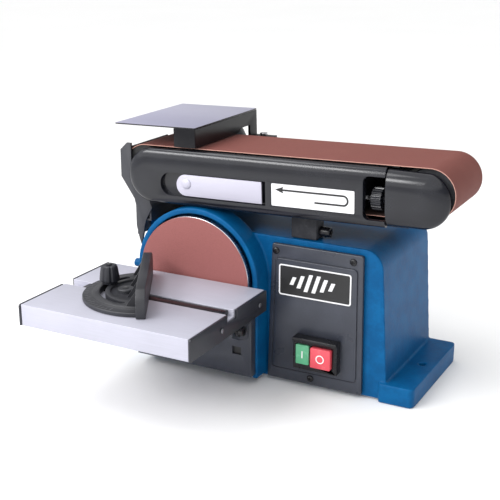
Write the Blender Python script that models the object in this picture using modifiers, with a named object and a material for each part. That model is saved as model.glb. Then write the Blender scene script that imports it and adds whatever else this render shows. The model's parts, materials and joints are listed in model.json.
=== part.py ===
"""Belt disc sander, built as separate pieces in their working positions.

Sizes are in millimetres and the shape helpers turn them into metres. X runs along the belt
arm, +Y points away from the operator, +Z is up, and the origin lies under the bottom plate,
below the disc's axis.
"""
import math

import bmesh
import bpy
from mathutils import Matrix, Vector

MM = 0.001
MERGE = 0.00001
GAP = 0.3
FINE = 0.1

# Sanding disc and its shroud
DISC_Z = 128.5
DISC_RADIUS = 75.0
DISC_FACE = -115.0
SHROUD_FRONT = -108.0
SHROUD_RADIUS = 84.2
SHROUD_BORE = 77.5
SHROUD_FOOT = 8.0
GUARD_FOOT = 14.0

# Base casting
BASE_LEFT = -86.0
BASE_RIGHT = 241.0
BASE_FRONT = -79.0
BASE_BACK = 79.0
BASE_TOP = 184.0
BASE_FLOOR = 2.3
BASE_WALL = 5.0
FOOT_HEIGHT = 24.0
FOOT_RIGHT = 275.0
FOOT_LEFT = -120.0

# Sanding belt: 100 mm wide, 915 mm around
DRUM_X = -79.2
DRUM_Z = 251.2
DRUM_SPACING = 364.0
DRUM_RADIUS = 28.2
BELT_INSIDE = 28.7
BELT_OUTSIDE = 29.7
BELT_FRONT = -93.0
BELT_BACK = 7.0

# Arm, drawn level around its own drum centre and then tipped up to its resting angle
ARM_TILT = 1.5
ARM_DRUM_X = -80.2
ARM_DRUM_Z = 255.5
IDLER_X = ARM_DRUM_X + DRUM_SPACING
COVER_FRONT = -105.0
COVER_BACK = -97.0
COVER_TOP = 283.0
COVER_BOTTOM = 215.6
COVER_RIGHT = 237.4
ARM_PLATE = 9.6
ARM_BACK = 14.0
ARM_UNDERSIDE = 215.8

# Table and mitre gauge
TABLE_TOP = 129.4
TABLE_DEPTH = 25.4
TABLE_FRONT = -290.0
TABLE_BACK = -118.0
TABLE_LEFT = -121.5
TABLE_RIGHT = 98.7
SLOT_Y = -201.0
SLOT_WIDTH = 16.6
SLOT_FLOOR = 121.4
TILT_Y = -124.0
TILT_Z = 107.0
TILT_LOCK_RADIUS = 33.0
TILT_LOCK_ANGLE = 218.0
TILT_RANGE = 45.0
GAUGE_X = -15.0
GAUGE_TURN = 30.0
GAUGE_SWING = 60.0
GAUGE_RADIUS = 70.0
GAUGE_SLOT_RADIUS = 47.0

# Drive
MOTOR_RADIUS = 50.0
SHAFT_RADIUS = 6.0
DRUM_SHAFT_RADIUS = 7.0
MOTOR_PULLEY_RADIUS = 14.0
DRUM_PULLEY_RADIUS = 26.0
PULLEY_FRONT = 84.0
PULLEY_BACK = 96.0

# Switch
PLATE_BACK = -79.3
PLATE_FACE = -85.0
PANEL_FACE = -86.0

SPINDLE = (0.0, 0.0, DISC_Z)
DRUM = (DRUM_X, 0.0, DRUM_Z)
ARM_DRUM = (ARM_DRUM_X, 0.0, ARM_DRUM_Z)
IDLER = (IDLER_X, 0.0, ARM_DRUM_Z)
TILT = (0.0, TILT_Y, TILT_Z)
GAUGE = (GAUGE_X, SLOT_Y, TABLE_TOP)
LEVER_PIVOT = (83.5, -103.35, 241.6)
KNOB_AXIS = (224.0, -85.0, 244.0)
REST_TOP = 216.2
REST_BOLT = (152.0, -64.0, 193.5)
ORIGIN = (0.0, 0.0, 0.0)

AXES = {
    "X": Matrix.Rotation(math.pi / 2, 4, "Y"),
    "Y": Matrix.Rotation(-math.pi / 2, 4, "X"),
    "Z": Matrix.Identity(4),
}
PLANES = {
    "XZ": Matrix(((1, 0, 0, 0), (0, 0, -1, 0), (0, 1, 0, 0), (0, 0, 0, 1))),
    "YZ": Matrix(((0, 0, 1, 0), (1, 0, 0, 0), (0, 1, 0, 0), (0, 0, 0, 1))),
    "XY": Matrix.Identity(4),
}
DEPTH_AXIS = {"XZ": 1, "YZ": 0, "XY": 2}

FINISHES = {
    "blue_paint": ((0.012, 0.115, 0.34), 0.35, 0.0),
    "charcoal_plastic": ((0.045, 0.047, 0.055), 0.45, 0.0),
    "grey_plastic": ((0.085, 0.09, 0.11), 0.5, 0.0),
    "black_paint": ((0.02, 0.02, 0.024), 0.4, 0.0),
    "aluminium": ((0.56, 0.56, 0.62), 0.35, 1.0),
    "steel": ((0.5, 0.5, 0.52), 0.3, 1.0),
    "silver_paint": ((0.5, 0.49, 0.58), 0.35, 0.3),
    "cast_iron": ((0.16, 0.16, 0.17), 0.6, 0.6),
    "abrasive": ((0.29, 0.09, 0.08), 0.9, 0.0),
    "rubber": ((0.02, 0.02, 0.02), 0.8, 0.0),
    "white_label": ((0.85, 0.85, 0.86), 0.5, 0.0),
    "green_button": ((0.24, 0.6, 0.4), 0.4, 0.0),
    "red_button": ((0.8, 0.16, 0.18), 0.4, 0.0),
    "copper": ((0.6, 0.25, 0.12), 0.4, 1.0),
}


def clear_scene():
    """Remove whatever the scene holds."""
    for item in list(bpy.data.objects):
        bpy.data.objects.remove(item, do_unlink=True)


def make_collection(name):
    """Return a new collection linked to the scene."""
    group = bpy.data.collections.new(name)
    bpy.context.scene.collection.children.link(group)
    return group


def make_material(name):
    """Return the Principled material of one finish."""
    colour, roughness, metallic = FINISHES[name]
    material = bpy.data.materials.get(name)
    if material:
        return material
    material = bpy.data.materials.new(name)
    material.use_nodes = True
    shader = material.node_tree.nodes["Principled BSDF"]
    shader.inputs["Base Color"].default_value = (*colour, 1.0)
    shader.inputs["Roughness"].default_value = roughness
    shader.inputs["Metallic"].default_value = metallic
    return material


def place(name, mesh, pivot):
    """Return an object with the mesh's world shape and its origin at the pivot."""
    offset = Vector(pivot) * MM
    mesh.transform(Matrix.Translation(-offset))
    item = bpy.data.objects.new(name, mesh)
    item.location = offset
    PARTS.objects.link(item)
    return item


def box(name, low, high, pivot=ORIGIN):
    """Return a box between two corners."""
    low, high = Vector(low) * MM, Vector(high) * MM
    shape = bmesh.new()
    bmesh.ops.create_cube(shape, size=1.0)
    size = high - low
    bmesh.ops.scale(shape, vec=size, verts=shape.verts)
    bmesh.ops.translate(shape, vec=(low + high) / 2, verts=shape.verts)
    mesh = bpy.data.meshes.new(name)
    shape.to_mesh(mesh)
    shape.free()
    return place(name, mesh, pivot)


def rod(name, radius, centre, start, end, axis, sides=32, pivot=ORIGIN):
    """Return a cylinder along an axis, between two places on that axis."""
    shape = bmesh.new()
    bmesh.ops.create_cone(shape, cap_ends=True, segments=sides, radius1=radius * MM,
                          radius2=radius * MM, depth=(end - start) * MM)
    middle = Vector(centre)
    middle["XYZ".index(axis)] = (start + end) / 2
    mesh = bpy.data.meshes.new(name)
    shape.to_mesh(mesh)
    shape.free()
    mesh.transform(Matrix.Translation(middle * MM) @ AXES[axis])
    return place(name, mesh, pivot)


def slab(name, loops, plane, low, high, pivot=ORIGIN):
    """Return a flat outline, with any holes, extruded between two depths."""
    curve = bpy.data.curves.new(name, "CURVE")
    curve.dimensions = "2D"
    curve.fill_mode = "BOTH"
    curve.extrude = (high - low) / 2 * MM
    for loop in loops:
        spline = curve.splines.new("POLY")
        spline.points.add(len(loop) - 1)
        spline.use_cyclic_u = True
        for point, place_2d in zip(spline.points, loop):
            point.co = (place_2d[0] * MM, place_2d[1] * MM, 0.0, 1.0)
    guide = bpy.data.objects.new(name + "_outline", curve)
    PARTS.objects.link(guide)
    bpy.context.view_layer.update()
    evaluated = guide.evaluated_get(bpy.context.evaluated_depsgraph_get())
    mesh = bpy.data.meshes.new_from_object(evaluated)
    mesh.name = name
    shape = bmesh.new()
    shape.from_mesh(mesh)
    bmesh.ops.remove_doubles(shape, verts=shape.verts, dist=MERGE)
    bmesh.ops.recalc_face_normals(shape, faces=shape.faces)
    shape.to_mesh(mesh)
    shape.free()
    shift = [0.0, 0.0, 0.0]
    shift[DEPTH_AXIS[plane]] = (low + high) / 2 * MM
    mesh.transform(Matrix.Translation(shift) @ PLANES[plane])
    bpy.data.objects.remove(guide, do_unlink=True)
    return place(name, mesh, pivot)


def turned(name, profile, centre, axis, closed=True, steps=48):
    """Return a turned shape; the profile lists (radius, height), down its outer side.

    The object's origin stays on the turning axis, at height 0.
    """
    mesh = bpy.data.meshes.new(name)
    points = [(radius * MM, 0.0, height * MM) for radius, height in profile]
    edges = [(index, index + 1) for index in range(len(points) - 1)]
    if closed:
        edges.append((len(points) - 1, 0))
    mesh.from_pydata(points, edges, [])
    item = bpy.data.objects.new(name, mesh)
    PARTS.objects.link(item)
    item.matrix_world = Matrix.Translation(Vector(centre) * MM) @ AXES[axis]
    screw = item.modifiers.new("turn", "SCREW")
    screw.axis = "Z"
    screw.steps = steps
    screw.render_steps = steps
    screw.use_merge_vertices = True
    screw.merge_threshold = MERGE
    return item


def ring(name, inner, outer, low, high, centre, axis, steps=48):
    """Return a turned ring."""
    return turned(name, [(outer, high), (outer, low), (inner, low), (inner, high)], centre, axis,
                  steps=steps)


def arc(centre, radius, start, end, steps=12):
    """Return points on an arc, from one angle to another in degrees."""
    angles = [math.radians(start + (end - start) * index / steps) for index in range(steps + 1)]
    return [(centre[0] + radius * math.cos(a), centre[1] + radius * math.sin(a)) for a in angles]


def inset_arch(radius, foot):
    """Return the shroud's arch outline: a half circle on two straight legs."""
    return [(radius, foot)] + arc((0, DISC_Z), radius, 0, 180, 32) + [(-radius, foot)]


def wrap(first, first_radius, second, second_radius, steps=20):
    """Return the outline of a band pulled tight around two circles."""
    heading = math.degrees(math.atan2(second[1] - first[1], second[0] - first[0]))
    span = math.hypot(second[0] - first[0], second[1] - first[1])
    lean = math.degrees(math.acos((first_radius - second_radius) / span))
    around_second = arc(second, second_radius, heading - lean, heading + lean, steps)
    around_first = arc(first, first_radius, heading + lean, heading + 360 - lean, steps)
    return around_second + around_first


def combine(item, others, operation):
    """Add a Boolean modifier for each other shape, and move it to the cutters."""
    for other in others:
        PARTS.objects.unlink(other)
        CUTTERS.objects.link(other)
        other.hide_render = True
        other.display_type = "WIRE"
        change = item.modifiers.new(other.name, "BOOLEAN")
        change.operation = operation
        change.solver = "EXACT"
        change.object = other
    return item


def cut(item, *cutters):
    """Cut shapes out of an object."""
    return combine(item, cutters, "DIFFERENCE")


def add(item, *pieces):
    """Fuse shapes into an object."""
    return combine(item, pieces, "UNION")


def soften(item, width, segments=2, angle=50.0):
    """Round an object's sharp edges."""
    bevel = item.modifiers.new("rounding", "BEVEL")
    bevel.width = width * MM
    bevel.segments = segments
    bevel.limit_method = "ANGLE"
    bevel.angle_limit = math.radians(angle)
    bevel.use_clamp_overlap = True
    return item


def round_rim(item, depth, width, segments=3):
    """Round the edges of the face that lies at one depth along Y."""
    shape = bmesh.new()
    shape.from_mesh(item.data)
    level = depth * MM - item.location.y
    rim = [edge for edge in shape.edges
           if all(abs(vert.co.y - level) < MERGE for vert in edge.verts)
           and any(abs(face.normal.y) < 0.5 for face in edge.link_faces)]
    bmesh.ops.bevel(shape, geom=rim, offset=width * MM, segments=segments, profile=0.5,
                    affect="EDGES", clamp_overlap=True)
    shape.to_mesh(item.data)
    shape.free()
    return item


def paint(item, finish):
    """Give an object its material and its smooth round sides."""
    item.data.materials.clear()
    item.data.materials.append(make_material(finish))
    item.data.shade_smooth()
    item.data.set_sharp_from_angle(angle=math.radians(35))
    return item


def base_outline(offset, floor):
    """Return the base's front outline, moved inwards by an offset."""
    left_radius = 8.0 - min(offset, 5.0)
    right_radius = 24.0 - offset
    left_centre = (-76.5, BASE_TOP - 8.0)
    right_centre = (207.0, BASE_TOP - 24.0)
    return ([(BASE_RIGHT - offset, floor)]
            + arc(right_centre, right_radius, 0, 90, 8)
            + arc(left_centre, left_radius, 90, 180, 4)
            + [(BASE_LEFT + offset, floor)])


def build_housing():
    """The blue casting: a hollow tapered base with the disc's arched shroud and two feet."""
    housing = slab("base_housing", [base_outline(0, BASE_FLOOR)], "XZ", BASE_FRONT, BASE_BACK)
    round_rim(housing, BASE_FRONT, 3.0, 2)
    round_rim(housing, BASE_BACK, 3.0, 2)
    shroud = slab("shroud_body", [inset_arch(SHROUD_RADIUS, SHROUD_FOOT)], "XZ", SHROUD_FRONT,
                  BASE_FRONT + 2)
    round_rim(shroud, SHROUD_FRONT, 2.5, 2)
    right_foot = box("right_foot_body", (BASE_RIGHT - 5, -83.5, 0), (FOOT_RIGHT, 81, FOOT_HEIGHT))
    left_foot = box("left_foot_body", (FOOT_LEFT, -60, 0), (BASE_LEFT + 4, 81, FOOT_HEIGHT))
    boss = rod("shroud_boss", 5.5, (0, -95, 127), -97, -84, "X", 20)
    add(housing, shroud, right_foot, left_foot, boss)
    hollow = slab("base_hollow", [base_outline(BASE_WALL, -1)], "XZ", BASE_FRONT + BASE_WALL,
                  BASE_BACK - BASE_WALL)
    disc_space = slab("disc_space", [inset_arch(SHROUD_BORE, -1)], "XZ", SHROUD_FRONT - 1, BASE_FRONT)
    right_void = box("right_foot_void", (BASE_RIGHT + 3, -79, -1), (FOOT_RIGHT - 4, 77, 19))
    left_void = box("left_foot_void", (FOOT_LEFT + 4, -56, -1), (BASE_LEFT - 3, 77, 19))
    right_hole = rod("right_bolt_hole", 4.5, (259, -5, 0), 18, 26, "Z", 24)
    left_hole = rod("left_bolt_hole", 4.5, (-104, 10, 0), 18, 26, "Z", 24)
    shaft_hole = rod("shaft_hole", 14, SPINDLE, BASE_FRONT - 1, BASE_BACK + 1, "Y", 32)
    cut(housing, hollow, disc_space, right_void, left_void, right_hole, left_hole, shaft_hole)
    paint(housing, "blue_paint")


def build_bottom():
    """The steel plate that closes the base."""
    inset = BASE_WALL + GAP
    plate = box("bottom_plate", (BASE_LEFT + inset, -76, 0), (BASE_RIGHT - inset, 76, 2))
    paint(plate, "steel")


def build_switch_panel():
    """The switch plate with its raised panel, screws, badge, switch box and buttons."""
    plate = slab("switch_plate", [[(211.2, 4.2), (208.5, 177.3), (92.2, 177.3), (86.5, 4.2)]], "XZ",
                 PLATE_FACE, PLATE_BACK)
    round_rim(plate, PLATE_FACE, 1.5, 2)
    panel = slab("switch_panel", [[(203.8, 20), (202, 160), (98.4, 160), (94, 20)]], "XZ",
                 PANEL_FACE, PLATE_FACE + 1)
    add(plate, panel)
    paint(plate, "grey_plastic")
    screw_places = [(97.6, 168.7), (196.7, 168.7), (145.0, 12.3)]
    for number, (x, z) in enumerate(screw_places, 1):
        face = PLATE_FACE - GAP
        dome = [(0, face), (4.3, face), (4.3, face - 0.8), (3.2, face - 2.0), (0, face - 2.3)]
        screw = turned(f"plate_screw_{number}", dome, (x, 0, z), "Y", closed=False, steps=20)
        paint(screw, "steel")
    badge = box("badge_plate", (102.5, PANEL_FACE - 0.9, 115), (195.5, PANEL_FACE - GAP, 153.5))
    paint(badge, "white_label")
    build_switch()


def build_switch():
    """The switch box and its two push buttons."""
    body = box("switch_box", (127, -97, 28), (184, PANEL_FACE - GAP, 69))
    hood = box("switch_hood", (127, -100.5, 64.5), (184, -96, 69))
    green_well = box("green_well", (130.6, -99, 34.8), (149, -90, 60.7))
    red_well = box("red_well", (151.4, -99, 34.8), (178, -90, 60.7))
    add(body, hood)
    cut(body, green_well, red_well)
    paint(body, "black_paint")
    green = box("green_button", (131, -98.5, 35.2), (148.6, -94.5, 60.3), (139.8, -96.5, 47.75))
    red = box("red_button", (151.8, -102.5, 35.2), (177.6, -94.5, 60.3), (164.7, -98.5, 47.75))
    paint(soften(green, 0.8), "green_button")
    paint(soften(red, 1.2), "red_button")


def build_hood():
    """The dust hood around the drive drum, on the base's left end."""
    back_of_cover = COVER_BACK + 0.4
    flange = slab("dust_hood", [[
        (-86.5, 153), (-83.5, 165), (-81.5, 176), (-78.5, 186), (-69.5, 202), (-73, 211.5),
        (-80, 216), (-98, 232), (-98, 281), (-104, 281), (-113.5, 272), (-113.5, 238),
        (-95, 211.5), (-93, 203), (-93, 177), (-89, 160)]], "XZ", back_of_cover, back_of_cover + 3)
    wall = slab("hood_wall", [[
        (-72, 184.5), (-72, 210), (-74.5, 210), (-74.5, 187), (-90, 187), (-90, 203.5),
        (-92.2, 212.6), (-110.5, 239), (-110.5, 272.3), (-112.7, 272.3), (-112.7, 238.3),
        (-94.2, 211.8), (-92.2, 203.2), (-92.2, 184.5)]], "XZ", back_of_cover + 2, 9.1)
    rear = slab("hood_rear", [[
        (-73, 185.5), (-73, 209), (-98, 226), (-111.6, 239), (-93.4, 212), (-91.3, 203),
        (-91.3, 185.5)]], "XZ", 6.9, 8.7)
    skirt = box("hood_skirt", (-92.6, back_of_cover + 1.5, 165), (-89.6, -50, 186))
    port = rod("hood_port", 12.5, (0, -18, 199), -112, -92, "X", 32)
    bore = rod("hood_port_bore", 10.5, (0, -18, 199), -113, -85, "X", 32)
    add(flange, wall, rear, skirt, port)
    cut(flange, bore)
    paint(flange, "grey_plastic")


def build_rest():
    """The block on the base that the level arm rests on, and its bolt."""
    block = box("arm_rest_block", (112, -75, BASE_TOP + GAP), (145, -53, REST_TOP))
    paint(soften(block, 1.5), "cast_iron")
    bolt = rod("arm_rest_bolt", 6, REST_BOLT, 145 + GAP, 158.5, "X", 24, REST_BOLT)
    socket = rod("arm_rest_socket", 3.2, REST_BOLT, 154.5, 160, "X", 6)
    cut(bolt, socket)
    paint(bolt, "black_paint")


def build_pedestal():
    """The bearing stand behind the arm that carries the drum shaft and the arm's pivot."""
    outline = [(-76, BASE_TOP + GAP)] + arc((DRUM_X, DRUM_Z), 23, 195, 0, 20) + [(-30, BASE_TOP + GAP)]
    stand = slab("pivot_pedestal", [outline], "XZ", 20, 66)
    journal = rod("pivot_journal", 15, DRUM, ARM_PLATE, 22, "Y", 40)
    add(stand, journal)
    shaft_way = rod("pedestal_shaft_way", 8.5, DRUM, 0, 70, "Y", 32)
    seat = rod("pedestal_bearing_seat", 13, DRUM, 48, 70, "Y", 32)
    cut(stand, shaft_way, seat)
    paint(stand, "cast_iron")
    paint(ring("drum_bearing", DRUM_SHAFT_RADIUS + 0.1, 12.7, 50, 62, DRUM, "Y", 32), "steel")


def build_motor():
    """The motor's fixed pieces: can, stator, bearings and cradle."""
    can = turned("motor_can", [
        (MOTOR_RADIUS, 52), (MOTOR_RADIUS, -66), (11.3, -66), (11.3, -56), (16, -56), (16, -62),
        (46, -62), (46, 48), (16, 48), (16, 42), (11.3, 42), (11.3, 52)], SPINDLE, "Y")
    paint(can, "aluminium")
    paint(ring("stator_core", 27.8, 45.6, -38, 28, SPINDLE, "Y"), "copper")
    inner = SHAFT_RADIUS + 0.1
    paint(ring("bearing_front", inner, 11, -65.5, -56.5, SPINDLE, "Y", 32), "steel")
    paint(ring("bearing_rear", inner, 11, 42.5, 51.5, SPINDLE, "Y", 32), "steel")
    cradle = box("motor_cradle", (-36, -55, BASE_FLOOR), (36, 40, 8))
    front_wall = box("cradle_front", (-34, -50, 6), (34, -42, 96))
    rear_wall = box("cradle_rear", (-34, 26, 6), (34, 34, 96))
    add(cradle, front_wall, rear_wall)
    cut(cradle, rod("cradle_seat", MOTOR_RADIUS + GAP, SPINDLE, -60, 50, "Y", 48))
    paint(cradle, "black_paint")


def build_spindle():
    """The turning pieces on the motor shaft: rotor, disc, abrasive and pulley."""
    bore = SHAFT_RADIUS + FINE
    shaft = rod("motor_shaft", SHAFT_RADIUS, SPINDLE, DISC_FACE + 9, 98, "Y", 32, SPINDLE)
    paint(shaft, "steel")
    paint(ring("rotor", bore, 27, -40, 30, SPINDLE, "Y"), "steel")
    back = DISC_FACE + 1.1
    plate = turned("disc_plate", [
        (15, DISC_FACE + 24), (15, back + 7), (DISC_RADIUS, back + 7), (DISC_RADIUS, back), (0, back),
        (0, DISC_FACE + 8.7), (bore, DISC_FACE + 8.7), (bore, DISC_FACE + 24)], SPINDLE, "Y",
        steps=72)
    paint(plate, "aluminium")
    paper = rod("sanding_disc", DISC_RADIUS, SPINDLE, DISC_FACE, DISC_FACE + 0.8, "Y", 72, SPINDLE)
    paint(paper, "abrasive")
    pulley = ring("motor_pulley", bore, MOTOR_PULLEY_RADIUS, PULLEY_FRONT, PULLEY_BACK, SPINDLE, "Y", 40)
    paint(pulley, "aluminium")


def build_drive():
    """The belt drive at the back, its cover, and the drive drum on its shaft."""
    bore = DRUM_SHAFT_RADIUS + FINE
    drum_shaft = rod("drum_shaft", DRUM_SHAFT_RADIUS, DRUM, -92, 98, "Y", 32, DRUM)
    paint(drum_shaft, "steel")
    paint(ring("drive_drum", bore, DRUM_RADIUS, -92, 6, DRUM, "Y"), "aluminium")
    pulley = ring("drum_pulley", bore, DRUM_PULLEY_RADIUS, PULLEY_FRONT, PULLEY_BACK, DRUM, "Y")
    paint(pulley, "aluminium")
    low, high = (0, DISC_Z), (DRUM_X, DRUM_Z)
    inside = wrap(low, MOTOR_PULLEY_RADIUS + GAP, high, DRUM_PULLEY_RADIUS + GAP)
    outside = wrap(low, MOTOR_PULLEY_RADIUS + 2.8, high, DRUM_PULLEY_RADIUS + 2.8)
    paint(slab("drive_belt", [outside, inside], "XZ", PULLEY_FRONT + 1, PULLEY_BACK - 1), "rubber")
    cover = slab("rear_cover", [wrap(low, 25, high, 36)], "XZ", BASE_BACK + GAP, 104)
    round_rim(cover, 104, 4.0, 2)
    cut(cover, slab("rear_cover_hollow", [wrap(low, 22, high, 33)], "XZ", 78, 101))
    paint(cover, "charcoal_plastic")
    gland = turned("cable_gland", [
        (6.2, 96), (7, 94), (7, 87), (9.5, 87), (9.5, BASE_BACK + GAP), (3.2, BASE_BACK + GAP),
        (3.2, 96)], (205, 0, 40), "Y", steps=24)
    paint(gland, "rubber")


def arm_back_outline():
    """Return the outline of the arm's back plate, with its pivot ring at the left."""
    return (arc((ARM_DRUM_X, ARM_DRUM_Z), 23, 90, 250, 14)
            + [(-55, ARM_UNDERSIDE), (262, ARM_UNDERSIDE), (288, 236), (294, 262), (284, 278)])


def build_arm():
    """The arm's frame, platen, sanding belt and front covers."""
    frame = slab("arm_frame", [arm_back_outline()], "XZ", ARM_PLATE, ARM_BACK, ARM_DRUM)
    tray = box("arm_tray", (-55, BELT_FRONT - 0.5, ARM_UNDERSIDE), (262, ARM_PLATE + 2, 219.3))
    carrier = box("platen_carrier", (-45, -91, 232), (208, ARM_PLATE + 2, 281.8))
    ledge = box("stop_ledge", (-10, ARM_BACK - 2, 264), (30, 57, 274))
    posts = [rod(f"cover_post_{x}", 5, (x, 0, z), COVER_BACK + GAP, -90, "Y", 16)
             for x, z in ((-22, 264), (100, 264), (200, 238))]
    add(frame, tray, carrier, ledge, *posts)
    pocket = box("carrier_pocket", (-41, -87, 228), (204, 5, 277))
    stem_way = rod("stem_way", 6.4, (0, -43, ARM_DRUM_Z), 200, 212, "X", 24)
    hub_bore = rod("arm_hub_bore", 15.3, ARM_DRUM, 5, 20, "Y", 40)
    cut(frame, pocket, stem_way, hub_bore)
    paint(frame, "black_paint")
    paint(box("platen", (-48, -90, 282.1), (248, 4, 283.9), ARM_DRUM), "steel")
    left, right = (ARM_DRUM_X, ARM_DRUM_Z), (IDLER_X, ARM_DRUM_Z)
    loops = [wrap(left, radius, right, radius, 28) for radius in (BELT_OUTSIDE, BELT_INSIDE)]
    paint(slab("sanding_belt", loops, "XZ", BELT_FRONT, BELT_BACK, ARM_DRUM), "abrasive")
    build_cover()
    build_end_cap()


def build_cover():
    """The long front cover with its lever pocket and tracking window, and its label."""
    centre = (-66.0, (COVER_TOP + COVER_BOTTOM) / 2)
    radius = (COVER_TOP - COVER_BOTTOM) / 2
    outline = arc(centre, radius, 90, 270, 24) + [(COVER_RIGHT, COVER_BOTTOM), (COVER_RIGHT, COVER_TOP)]
    cover = slab("arm_cover", [outline], "XZ", COVER_FRONT, COVER_BACK, ARM_DRUM)
    round_rim(cover, COVER_FRONT, 5.0, 3)
    pocket_outline = arc((-37, 241.6), 14.3, 90, 270, 12) + [(91.6, 227.3), (91.6, 255.9)]
    pocket = slab("lever_pocket", [pocket_outline], "XZ", COVER_FRONT - 1, -99)
    window_outline = (arc((218, 267), 6, 90, 180, 4) + arc((218, 229.6), 6, 180, 270, 4)
                      + [(245, 223.6), (245, 273)])
    window = slab("tracking_window", [window_outline], "XZ", COVER_FRONT - 1, COVER_BACK + 1)
    cut(cover, pocket, window)
    paint(cover, "charcoal_plastic")
    label = box("arm_label", (99.8, COVER_FRONT - 0.9, 229), (202.3, COVER_FRONT - GAP, 255), ARM_DRUM)
    paint(label, "white_label")


def build_end_cap():
    """The domed cap in front of the idler drum."""
    outline = [(238, 281), (238, 217)] + arc((277, 249), 32, -90, 70, 20)
    cap = slab("arm_end_cap", [outline], "XZ", COVER_FRONT + 0.5, BELT_FRONT - 0.6, ARM_DRUM)
    round_rim(cap, COVER_FRONT + 0.5, 5.0, 3)
    paint(cap, "charcoal_plastic")


def build_stop():
    """The work stop across the belt: an upright wall on a rear foot, its top plate and screw."""
    side = [(-99.5, 286.9), (6, 286.9), (14, 292), (38, 292), (38, 274.3), (57, 274.3), (57, 309),
            (-99.5, 309)]
    wall = slab("stop_wall", [side], "YZ", -5.9, -2.9, ARM_DRUM)
    lip = box("stop_lip", (-32.2, -101, 286.7), (-2.9, -98, 309.2))
    foot = box("stop_foot", (-4.4, 39, 274.6), (27, 56, 277.4))
    add(wall, lip, foot)
    paint(wall, "black_paint")
    top = box("stop_plate", (-116.6, -101, 309.2 + GAP), (-2.6, 57, 311.2), ARM_DRUM)
    paint(top, "silver_paint")
    screw = rod("stop_screw", 5, (12, 47.5, 0), 277.4 + GAP, 281.4, "Z", 6, ARM_DRUM)
    paint(screw, "steel")


def build_tension():
    """The sliding fork with the idler drum, the tension lever and the tracking knob."""
    fork = box("tension_fork", (238, -91, 249), (246, 5, 265), IDLER)
    front = box("fork_front", (240, -91, 246), (294, -87.3, 265))
    rear = box("fork_rear", (240, 1.3, 246), (294, 5, 265))
    stem = rod("fork_stem", 6, (0, -43, ARM_DRUM_Z), 192, 240, "X", 24)
    add(fork, front, rear, stem)
    cut(fork, rod("axle_way", 5 + FINE, IDLER, -95, 10, "Y", 24))
    paint(fork, "steel")
    paint(rod("idler_axle", 5, IDLER, -92, 6, "Y", 24, IDLER), "steel")
    paint(ring("idler_drum", 5 + FINE, DRUM_RADIUS, -86.9, 0.9, IDLER, "Y"), "aluminium")
    outline = arc((-16, 241.6), 13.2, 90, 270, 14) + [(86.3, 228.4), (86.3, 254.8)]
    lever = slab("tension_lever", [outline], "XZ", -104.6, -102.1, LEVER_PIVOT)
    dome = turned("lever_dome", [(0, -104), (6.5, -104), (6.0, -105.2), (3.5, -106.2), (0, -106.5)],
                  (-15, 0, 243.6), "Y", closed=False, steps=24)
    add(lever, dome)
    paint(lever, "silver_paint")
    knob = turned("tracking_knob", [
        (0, 233.5), (3, 233.5), (3, 230.6), (12.4, 230.6), (13.4, 229.4), (13.4, 218.4), (12.4, 217.2),
        (3, 217.2), (3, 209), (0, 209)], (0, KNOB_AXIS[1], KNOB_AXIS[2]), "X", closed=False, steps=40)
    paint(knob, "grey_plastic")


def build_table_bracket():
    """The lower guard in front of the disc, with the ears and pins that the table tilts on."""
    guard = box("table_bracket", (-82, -119, GUARD_FOOT), (82, -116, 100))
    for side in (-1, 1):
        name = "left" if side < 0 else "right"
        flank = sorted((side * 78, side * 82))
        inner, outer = sorted((side * 73, side * 77))
        pin = sorted((side * 76, side * 84))
        leg = box(f"guard_flank_{name}", (flank[0], -118, GUARD_FOOT),
                  (flank[1], SHROUD_FRONT - GAP, 100))
        ear = slab(f"ear_{name}", [[(-117, 62), (-117, 100), (-118.5, 112), (-130, 114), (-157, 93),
                                    (-157, 78), (-142, 70)]], "YZ", inner, outer)
        shaft = rod(f"tilt_pin_{name}", 4, TILT, pin[0], pin[1], "X", 24)
        add(guard, ear, leg, shaft)
    cut(guard, box("guard_hole", (56, -122, 40.5), (68, -114, 50.5)))
    paint(guard, "grey_plastic")
    build_tilt_locks()


def tilt_lock_place():
    """Return the lock bolt's place in the YZ plane."""
    angle = math.radians(TILT_LOCK_ANGLE)
    return (TILT_Y + TILT_LOCK_RADIUS * math.cos(angle), TILT_Z + TILT_LOCK_RADIUS * math.sin(angle))


def build_tilt_locks():
    """The two socket bolts that clamp the table's tilt."""
    y, z = tilt_lock_place()
    for side, name in ((-1, "left"), (1, "right")):
        shank = sorted((side * (77 + GAP), side * 85))
        head = sorted((side * 83.4, side * 89.5))
        bolt = rod(f"tilt_lock_{name}", 3, (0, y, z), shank[0], shank[1], "X", 20,
                   (side * 83.0, y, z))
        cap = rod(f"lock_head_{name}", 6, (0, y, z), head[0], head[1], "X", 24)
        key = sorted((side * 86, side * 91))
        add(bolt, cap)
        cut(bolt, rod(f"lock_socket_{name}", 2.8, (0, y, z), key[0], key[1], "X", 6))
        paint(bolt, "steel")


def table_profile():
    """Return the table extrusion's section, with the mitre slot's channel."""
    front_slot = SLOT_Y - SLOT_WIDTH / 2
    back_slot = SLOT_Y + SLOT_WIDTH / 2
    skin, wall = 5.0, 4.5
    under = TABLE_TOP - skin
    floor = SLOT_FLOOR - wall
    foot = TABLE_TOP - TABLE_DEPTH
    return [(TABLE_FRONT, foot), (TABLE_FRONT, TABLE_TOP), (front_slot, TABLE_TOP),
            (front_slot, SLOT_FLOOR), (back_slot, SLOT_FLOOR), (back_slot, TABLE_TOP),
            (TABLE_BACK, TABLE_TOP), (TABLE_BACK, under), (back_slot + wall, under),
            (back_slot + wall, floor), (front_slot - wall, floor), (front_slot - wall, under),
            (TABLE_FRONT + 4, under), (TABLE_FRONT + 4, foot)]


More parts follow.
